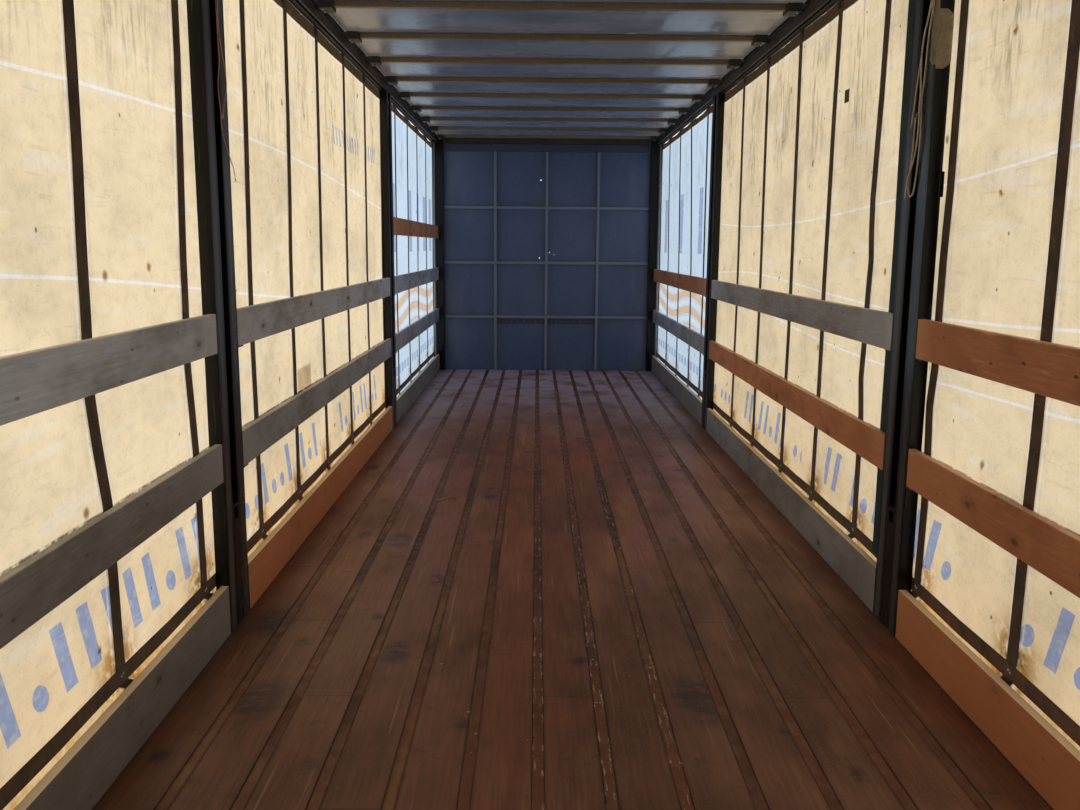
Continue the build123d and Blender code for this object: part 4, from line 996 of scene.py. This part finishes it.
def setRivets(name, side, middles, level, run, material, c):
    # two rivets through the band at each strap, each a small dome: radius * cos, height * sin
    turns = np.array(c["turns"])
    dome = np.stack([c["radius"] * np.cos(turns), c["height"] * np.sin(turns)], axis=1)
    height = np.interp(middles, run, level)
    places = np.stack([np.full(len(middles), side * c["x"]), middles, height], axis=1)
    shift = np.array([0.0, c["apart"] / 2, c["rise"]])
    heads = Shape()
    heads.studs(turned(dome, (0, 0, 0), (-side, 0, 0), 8), np.concatenate([places - shift, places + shift]))
    return heads.piece("band_rivets_" + name, material, "galvanised")


tarnish = linear(96, 84, 72)


def smallMetal(name, tone, rough, metal):
    g = Graph(name)
    dull = g.noise(0.006, 4, 0.7).ramp(0.35, 0.7)
    colour = g.mix(dull * 0.5, tone, tarnish)
    return g.done(g.surface(colour=colour, rough=rough + dull * 0.2, metal=metal))


# bolt heads on the end carriages of the bows
carriageBolts = dict(radius=0.0075, height=0.004, inFrom=0.048, apart=0.055)


def setCarriageBolts(material, c):
    # six-sided heads with a bevelled top, two under each carriage
    low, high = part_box("bow_carriages")
    radius, height = c["radius"], c["height"]
    head = [(radius, 0.0), (radius, height * 0.7), (radius * 0.7, height), (0.0002, height)]
    spots = [
        (side * (high.x - c["inFrom"]), middle + step * c["apart"] / 2, low.z)
        for side in (-1, 1) for middle in bowMiddles for step in (-1, 1)
    ]
    bolts = Shape()
    bolts.studs(turned(head, (0, 0, 0), (0, 0, -1), 6), np.array(spots))
    return bolts.piece("carriage_bolts", material, "galvanised")


rivetMetal = smallMetal("rivetMetal", linear(226, 224, 216), 0.34, 0.4)
boltMetal = smallMetal("boltMetal", linear(196, 194, 188), 0.28, 0.8)
for name, side in sides.items():
    setRivets(name, side, *bandLines[name], rivetMetal, rivetLook)
setCarriageBolts(boltMetal, carriageBolts)

# right near post: a folded guard plate on its near corner and a lug on its back edge
nearPost = float(postMiddles[-2])
nearEdge = nearPost - postHalf
guard = dict(
    faceReach=0.049, low=1.988, faceLow=2.004, high=2.262, sideDrop=0.085, thick=0.0025, clear=0.0005,
    round=0.007, edge=1.2575, chamfer=0.020,
)


def foldGuard(material, c):
    # a strip folded round the corner: its line in plan carried upright, its foot cut back at both ends
    face, near = postFace - c["clear"], nearEdge - c["clear"]
    turn = np.linspace(0, np.pi / 2, 7)

    def plan(out):
        radius = c["round"] + out
        bend = [face + c["round"] - radius * np.cos(turn), near + c["round"] - radius * np.sin(turn)]
        bend = np.stack(bend, axis=1)
        start, end = (face - out, near + c["faceReach"]), (c["edge"], near - out)
        edge = np.linspace((bend[-1, 0], near - out), end, 6)[1:]
        return np.concatenate([np.linspace(start, bend[0], 5)[:-1], bend, edge])

    inner, outer = plan(0.0), plan(c["thick"])
    ring = np.concatenate([outer, inner[::-1]])
    run = np.linalg.norm(np.diff(outer, axis=0), axis=1).cumsum()
    run = np.concatenate([[0.0], run])
    cut = np.clip(c["chamfer"] - np.minimum(run, run[-1] - run), 0, None)
    foot = deckTop + c["low"] + cut + (run < c["faceReach"]) * (c["faceLow"] - c["low"])
    head = deckTop + c["high"] - cut - (run > c["faceReach"]) * c["sideDrop"]
    share = np.linspace(0, 1, 9)[:, None]
    foot, head = [np.concatenate([line, line[::-1]]) for line in (foot, head)]
    height = foot + share * (head - foot)
    places = np.stack([ring[:, 0] + 0 * height, ring[:, 1] + 0 * height, height], axis=-1)
    plate = Shape()
    plate.grid(places[::-1], wrap=True)
    half = len(outer)
    for row, flip in ((0, 1), (-1, -1)):
        strip = np.stack([places[row, :half], places[row, half:][::-1]])
        plate.grid(strip[::flip])
    return plate.piece("post_guard", material, "post_paint")


def blockPiece(name, low, high, material, slot, rounding):
    # a small solid between two corners, with rounded edges
    low, high = np.array(low, float), np.array(high, float)
    corner = np.array([[x, y, z] for z in (0, 1) for y in (0, 1) for x in (0, 1)])
    solid = Shape()
    faces = [(0, 2, 3, 1), (4, 5, 7, 6), (0, 1, 5, 4), (2, 6, 7, 3), (0, 4, 6, 2), (1, 3, 7, 5)]
    solid.add(low + corner * (high - low), faces)
    made = solid.piece(name, material, slot, smooth=False)
    roundEdges(made, rounding, 3)
    return made


guardPaint = paintMaterial("guardPaint", dict(
    paint=linear(146, 132, 106), dust=linear(104, 90, 70), dusty=0.5, cloud=0.05, stretch=(1, 1, 1),
    scratches=0.5, rustFrom=0.66, rough=0.45,
))
foldGuard(guardPaint, guard)
lug = dict(x=(1.243, 1.2596), reach=0.018, clear=0.0002, low=1.571, high=1.656, rounding=0.003)
blockPiece(
    "post_lug", (lug["x"][0], nearEdge - lug["reach"], deckTop + lug["low"]),
    (lug["x"][1], nearEdge - lug["clear"], deckTop + lug["high"]),
    finishes["post_paint"], "post_paint", lug["rounding"],
)
print("small steel pieces made")


# cords tied to the two near posts
def smoothLine(points, apart=0.0015):
    # even steps along the NURBS that the given control points give
    curve = bpy.data.curves.new("route", "CURVE")
    curve.dimensions = "3D"
    curve.resolution_u = 24
    spline = curve.splines.new("NURBS")
    spline.points.add(len(points) - 1)
    for spot, place in zip(spline.points, points):
        spot.co = (*place, 1.0)
    spline.order_u = 3
    spline.use_endpoint_u = True
    holder = bpy.data.objects.new("route", curve)
    bpy.context.scene.collection.objects.link(holder)
    mesh = bpy.data.meshes.new_from_object(holder)
    line = np.array([spot.co[:] for spot in mesh.vertices])
    bpy.data.objects.remove(holder)
    bpy.data.curves.remove(curve)
    bpy.data.meshes.remove(mesh)
    run = np.concatenate([[0.0], np.linalg.norm(np.diff(line, axis=0), axis=1).cumsum()])
    even = np.linspace(0, run[-1], int(run[-1] / apart) + 1)
    return np.stack([np.interp(even, run, line[:, axis]) for axis in range(3)], axis=1), even


def layCord(name, c, material, side):
    # strands turned about the cord's line: line + about a quarter of the diameter * (cos, sin) of the lay
    points = [(side * x, eyeY + along, deckTop + height) for x, along, height in c["points"]]
    line, run = smoothLine(points)
    ahead = np.gradient(line, axis=0)
    ahead = ahead / np.linalg.norm(ahead, axis=1, keepdims=True)
    first = np.cross((1.0, 0.0, 0.0), ahead)
    first = first / np.linalg.norm(first, axis=1, keepdims=True)
    second = np.cross(ahead, first)
    cord = Shape()
    reach = c["diameter"] * (0.25 if c["strands"] == 2 else 0.27)
    thin = np.clip(np.minimum(run, run[-1] - run) / (c["diameter"] * 0.5), 0.08, 1.0) ** 0.5
    for strand in range(c["strands"]):
        turn = 2 * np.pi * (run / c["lay"] + strand / c["strands"])[:, None]
        strandLine = line + reach * (np.cos(turn) * first + np.sin(turn) * second)
        cord.grid(tube(strandLine, (c["diameter"] / 2 - reach) * thin, 7, (1.0, 0.0, 0.0)), wrap=True)
    made = cord.piece(name, material, "strap_webbing")
    print(name, "is", round(float(run[-1]), 3), "m long")
    return made, line


knotLook = dict(off=(-0.0020, -0.001, -0.003), size=0.0068, thick=0.0017)


def knotPiece(name, end, material, c):
    # an overhand knot: (2 + cos 3t) cos 2t, (2 + cos 3t) sin 2t, sin 3t, closed on itself
    t = np.linspace(0, 2 * np.pi, 97)
    wide = (2 + np.cos(3 * t)) / 3
    path = np.stack([np.sin(3 * t) * 0.36, wide * np.cos(2 * t) * 0.8, wide * np.sin(2 * t)], axis=1)
    knot = Shape()
    centre = end + np.array(c["off"])
    knot.grid(tube(path * c["size"] + centre, c["thick"], 8, (0.93, 0.21, 0.30)), wrap=True)
    return knot.piece(name, material, "strap_webbing")


frayLook = dict(fibres=9, spread=0.0042, thick=0.00055)


def frayedEnd(name, end, drift, material, seed, c):
    # loose fibres that open out from a cut end: end + share * drift + share squared * spread
    chance = np.random.default_rng(seed)
    tuft = Shape()
    share = np.linspace(0, 1, 8)[:, None]
    for spread in chance.normal(0, c["spread"], (c["fibres"], 3)):
        path = np.array(end) + share * np.array(drift) + share ** 2 * spread
        tuft.grid(tube(path, c["thick"] * (1 - 0.6 * share[:, 0]), 5, (1.0, 0.1, 0.0)), wrap=True)
    return tuft.piece(name, material, "strap_webbing")


def cordMaterial(name, tone, pale, deep):
    g = Graph(name)
    fibre = g.noise(0.0012, 3, 0.7, (1, 1, 0.3))
    colour = g.mix(g.noise(0.02, 4, 0.65, shift=2.0).ramp(0.35, 0.68), tone, pale)
    colour = g.mix(g.noise(0.05, 4, 0.65, shift=3.0).ramp(0.52, 0.72) * 0.6, colour, deep)
    colour = g.shade(colour, fibre.ramp(0.3, 0.7, 0.8, 1.12))
    normal = g.bump(fibre, 0.0003, 0.8)
    return g.done(g.surface(colour=colour, rough=0.88, normal=normal, sheen=0.2, specular=0.2))


wireLook = dict(
    thick=0.0016, clear=0.0002,
    # the wire's bends: place across, and height over the screw
    bends=(
        (postFace + 0.001, 0.0), (1.2045, 0.0), (1.1995, -0.0030), (1.1975, -0.0080), (1.1975, -0.0140),
        (1.1992, -0.0188), (1.2020, -0.0205), (1.2045, -0.0185), (1.2062, -0.0150),
    ),
    # the plate under it: radius, and distance from the post
    plate=((0.0085, 0.0), (0.0085, 0.0012), (0.0070, 0.0018), (0.0002, 0.0018)),
)


def wireHook(name, side, along, height, material, c):
    # a bent wire screwed into the post: out, down round the bend and up to its tip
    points = [(side * across, eyeY + along, deckTop + height + up) for across, up in c["bends"]]
    line, run = smoothLine(points, 0.0012)
    hook = Shape()
    ends = np.clip((run[-1] - run) / c["thick"], 0.08, 1.0) ** 0.5
    hook.grid(tube(line, c["thick"] * ends, 8, (0.0, 1.0, 0.0)), wrap=True)
    foot = (side * (postFace - c["clear"]), eyeY + along, deckTop + height)
    hook.grid(turned(c["plate"], foot, (-side, 0, 0), 14), wrap=True)
    return hook.piece(name, material, "galvanised")


string = dict(diameter=0.0036, lay=0.011, strands=2)
rope = dict(diameter=0.0062, lay=0.020, strands=3)
# control points from the knot down: place across, distance from the camera, height above the deck
stringLong = dict(
    string, length=0.661,
    points=[
        (1.2012, 3.418, 2.248), (1.2025, 3.4178, 2.233), (1.2038, 3.418, 2.2058), (1.204, 3.4203, 2.1514),
        (1.2042, 3.4236, 2.1034), (1.2042, 3.4269, 2.0551), (1.204, 3.4317, 2.0165), (1.204, 3.4015, 1.952),
        (1.204, 3.4047, 1.9031), (1.204, 3.4187, 1.8553), (1.204, 3.4196, 1.7885), (1.204, 3.4559, 1.7417),
        (1.2038, 3.5045, 1.6946), (1.2035, 3.538, 1.66), (1.2035, 3.546, 1.638),
    ],
)
stringLoop = dict(
    string, length=0.438,
    points=[
        (1.195, 3.418, 2.248), (1.1948, 3.415, 2.233), (1.1962, 3.412, 2.2), (1.1978, 3.4097, 2.1491),
        (1.198, 3.4294, 2.0719), (1.199, 3.4714, 1.9971), (1.2, 3.4861, 1.9492), (1.1995, 3.4564, 1.8941),
        (1.1985, 3.43, 1.8568), (1.1982, 3.425, 1.838),
    ],
)
ropeShort = dict(
    rope, length=0.489,
    points=[
        (1.202, 3.311, 2.288), (1.2015, 3.312, 2.27), (1.2022, 3.318, 2.24), (1.203, 3.3332, 2.2044),
        (1.2035, 3.369, 2.16), (1.2035, 3.3886, 2.1053), (1.2035, 3.4016, 2.0363), (1.2035, 3.4219, 1.9574),
        (1.2035, 3.4347, 1.8826), (1.2035, 3.448, 1.8239),
    ],
)
ropeLoop = dict(
    rope, length=1.015,
    points=[
        (1.202, 3.318, 2.288), (1.201, 3.32, 2.265), (1.201, 3.319, 2.23), (1.202, 3.32, 2.19),
        (1.203, 3.343, 2.1376), (1.2035, 3.3551, 2.0599), (1.2035, 3.3572, 1.9795), (1.2035, 3.374, 1.9009),
        (1.2035, 3.36, 1.7995), (1.2035, 3.3661, 1.7005), (1.2035, 3.38, 1.6178), (1.2035, 3.393, 1.585),
        (1.2035, 3.42, 1.578), (1.2035, 3.439, 1.6), (1.2035, 3.4382, 1.6554), (1.2035, 3.4173, 1.7389),
        (1.2035, 3.419, 1.8068), (1.2035, 3.413, 1.85),
    ],
)
ropeLong = dict(
    rope, length=0.735,
    points=[
        (1.195, 3.3145, 2.288), (1.1935, 3.315, 2.265), (1.194, 3.318, 2.22), (1.195, 3.34, 2.16),
        (1.1955, 3.3786, 2.0968), (1.196, 3.3777, 1.9993), (1.196, 3.3654, 1.932), (1.196, 3.3706, 1.8671),
        (1.196, 3.362, 1.7995), (1.196, 3.38, 1.71), (1.196, 3.425, 1.65), (1.1965, 3.444, 1.61),
        (1.197, 3.446, 1.585),
    ],
)
stringTone = cordMaterial("tieString", linear(248, 172, 132), linear(255, 206, 170), linear(190, 112, 82))
ropeTone = cordMaterial("tieRope", linear(222, 206, 178), linear(240, 228, 206), linear(160, 142, 116))
fibreTone = cordMaterial("looseFibre", linear(222, 208, 186), linear(236, 226, 208), linear(180, 160, 136))
wireHook("string_hook", -1, 3.4180, 2.2660, boltMetal, wireLook)
wireHook("rope_hook", 1, 3.3145, 2.3040, boltMetal, wireLook)
for name, c, tone, side, far in (
    ("tie_string_long", stringLong, stringTone, -1, "bare"),
    ("tie_string_loop", stringLoop, stringTone, -1, "knot"),
    ("tie_rope_short", ropeShort, ropeTone, 1, "bare"),
    ("tie_rope_loop", ropeLoop, ropeTone, 1, "bare"),
    ("tie_rope_long", ropeLong, ropeTone, 1, "bare"),
):
    made, line = layCord(name, c, tone, side)
    if far == "knot":
        ending = knotPiece("string_knot", line[-1], stringTone, knotLook)
    elif side < 0:
        ending = frayedEnd("string_fray", line[-1], (0.0, 0.004, -0.018), fibreTone, 3, frayLook)
    else:
        ending = frayedEnd(name + "_fray", line[-1], line[-1] - line[-8], fibreTone, len(name), frayLook)
print("cords tied")

# right near post: a dark chafe strip that hangs behind it, over the curtain
chafe = dict(
    near=3.445, far=3.703, foot=0.19, top=2.468, x=1.2596, wave=0.0006, uneven=0.004, rib=0.006,
    tone=linear(38, 62, 68), dust=linear(74, 80, 76),
)


def hangChafe(material, c):
    # upright sheet: a little wave along its height and width, its far edge uneven
    share = np.linspace(0, 1, 70)[:, None]
    across = np.linspace(0, 1, 16)[None, :]
    height = deckTop + c["foot"] + share * (c["top"] - c["foot"]) + 0 * across
    far = c["far"] + c["uneven"] * np.sin(share * 9.0)
    along = eyeY + c["near"] + across * (far - c["near"])
    x = c["x"] + c["wave"] * np.sin(height * 7.0 + across * 3.0) * across
    strip = Shape()
    strip.grid(np.stack([x, along, height], axis=-1), across=across + 0 * share, along=height)
    return strip.piece("chafe_strip", material, "strap_webbing")


def chafeMaterial(c):
    g = Graph("chafeStrip")
    rib = (g.value("along") * (2 * np.pi / c["rib"])).made("SINE")
    dust = g.noise(0.08, 4, 0.7, (1, 1, 0.4)).ramp(0.45, 0.72)
    tone = g.mix(dust * 0.4, c["tone"], c["dust"])
    tone = g.shade(tone, rib.ramp(-1.0, 1.0, 0.88, 1.06))
    return g.done(g.surface(colour=tone, rough=0.7, normal=g.bump(rib, 0.0004, 0.5), specular=0.3))


chafePiece = hangChafe(chafeMaterial(chafe), chafe)


# dirt on the deck: a dry twig and small pale chips
twigLook = dict(
    stems=(
        ((-0.661, 5.154), (-0.631, 5.134), (-0.602, 5.177), (-0.564, 5.200), (-0.530, 5.266)),
        ((-0.612, 5.162), (-0.589, 5.221), (-0.578, 5.288)),
        ((-0.629, 5.137), (-0.641, 5.071), (-0.642, 5.030)),
        ((-0.570, 5.200), (-0.545, 5.180), (-0.525, 5.185)),
    ),
    thick=0.0026, clear=0.0028, rise=0.005, over=0.0004,
    tone=linear(196, 166, 124), deep=linear(136, 108, 78),
)


def dropTwig(material, c):
    # each stem a tapering tube that rises a little off the deck in its middle
    twig = Shape()
    for number, stem in enumerate(c["stems"]):
        lift = c["clear"] + c["rise"] * np.sin(np.linspace(0.0, np.pi, len(stem))) + c["over"] * number
        points = [(x, eyeY + along, deckTop + up) for (x, along), up in zip(stem, lift)]
        line, run = smoothLine(points, 0.004)
        radius = c["thick"] * (0.85 if number else 1.0) * (1.0 - 0.65 * run / run[-1])
        radius[0], radius[-1] = radius[0] * 0.2, 0.0002
        twig.grid(tube(line, radius, 7, (0.1, 0.05, 1.0)), wrap=True)
    return twig.piece("dry_twig", material, "board_grey")


chipLook = dict(
    count=150, seed=11, size=(0.0018, 0.0075), thick=0.0012, across=1.1, ahead=(2.2, 9.6),
    laneShare=0.72, laneSpread=0.013, tone=linear(206, 184, 158), deep=linear(120, 92, 72),
    lanes=(-0.0944, 0.0944, 0.2833, 0.4721, -0.2833), shares=(0.28, 0.32, 0.22, 0.1, 0.08),
)


def scatterChips(material, c):
    # five-sided flakes: a ring of points at random distances about random places, most near the middle strips
    chance = np.random.default_rng(c["seed"])
    count = c["count"]
    inLane = chance.random(count) < c["laneShare"]
    nearLane = chance.choice(c["lanes"], count, p=c["shares"]) + chance.normal(0, c["laneSpread"], count)
    across = np.where(inLane, nearLane, chance.uniform(-c["across"], c["across"], count))
    along = eyeY + chance.uniform(*c["ahead"], count)
    turn = np.linspace(0, 2 * np.pi, 5, endpoint=False)[None] + chance.uniform(0, 6, (count, 1))
    size = chance.uniform(*c["size"], (count, 1)) * chance.uniform(0.55, 1.0, (count, 5))
    ring = np.stack([across[:, None] + size * np.cos(turn), along[:, None] + size * np.sin(turn)], axis=-1)
    low = np.concatenate([ring, np.full((count, 5, 1), deckTop + 0.0002)], axis=-1)
    high = low + np.array([0, 0, c["thick"]])
    points = np.concatenate([low, high], axis=1).reshape(-1, 3)
    step = np.arange(count)[:, None, None] * 10
    side = np.array([(n, (n + 1) % 5, (n + 1) % 5 + 5, n + 5) for n in range(5)])
    chips = Shape()
    chips.add(points, (side[None] + step).reshape(-1, 4))
    chips.faces.append((np.array([[5, 6, 7, 8, 9]])[None] + step).reshape(-1, 5))
    chips.faces.append((np.array([[4, 3, 2, 1, 0]])[None] + step).reshape(-1, 5))
    return chips.piece("deck_chips", material, "board_grey", smooth=False)


def litterMaterial(name, c):
    g = Graph(name)
    colour = g.mix(g.noise(0.02, 3, 0.7).ramp(0.3, 0.7), c["tone"], c["deep"])
    return g.done(g.surface(colour=colour, rough=0.85))


dropTwig(litterMaterial("dryTwig", twigLook), twigLook)
scatterChips(litterMaterial("paleChips", chipLook), chipLook)
print("chafe strip hung, twig and chips dropped")

scene = bpy.context.scene
scene.view_settings.view_transform = "Standard"
world = bpy.data.worlds.new("studio")
scene.world = world
world.use_nodes = True
world.node_tree.nodes["Background"].inputs["Color"].default_value = (1.0, 1.0, 1.0, 1.0)
world.node_tree.nodes["Background"].inputs["Strength"].default_value = 1.0


def addLamp(name, place, target, size, watts):
    lamp = bpy.data.lights.new(name, "AREA")
    lamp.shape = "RECTANGLE"
    lamp.size, lamp.size_y = size
    lamp.energy = watts
    holder = bpy.data.objects.new(name, lamp)
    scene.collection.objects.link(holder)
    holder.visible_camera = False
    turn = (Vector(target) - Vector(place)).to_track_quat("-Z", "Y").to_matrix().to_4x4()
    holder.matrix_world = Matrix.Translation(Vector(place)) @ turn


# two wide soft lamps make up the light that the floor keeps from the sides
sideLamps = dict(out=5.2, height=2.6, aimOut=1.2, aimHeight=1.4, size=(15.0, 3.4), left=128.0, right=92.0)
for name, side in sides.items():
    place = side * sideLamps["out"], 0.0, sideLamps["height"]
    target = side * sideLamps["aimOut"], 0.0, sideLamps["aimHeight"]
    addLamp(name + "Lamp", place, target, sideLamps["size"], sideLamps[name])

floor = bpy.data.meshes.new("studio_floor")
reach = 60.0
corners = [(-reach, -reach, 0), (reach, -reach, 0), (reach, reach, 0), (-reach, reach, 0)]
floor.from_pydata(corners, [], [(0, 1, 2, 3)])
floorPiece = bpy.data.objects.new("studio_floor", floor)
scene.collection.objects.link(floorPiece)
floorFinish = Graph("studioFloor")
floor.materials.append(floorFinish.done(floorFinish.surface(colour=linear(225, 225, 225), rough=0.9)))

print("scene ready")
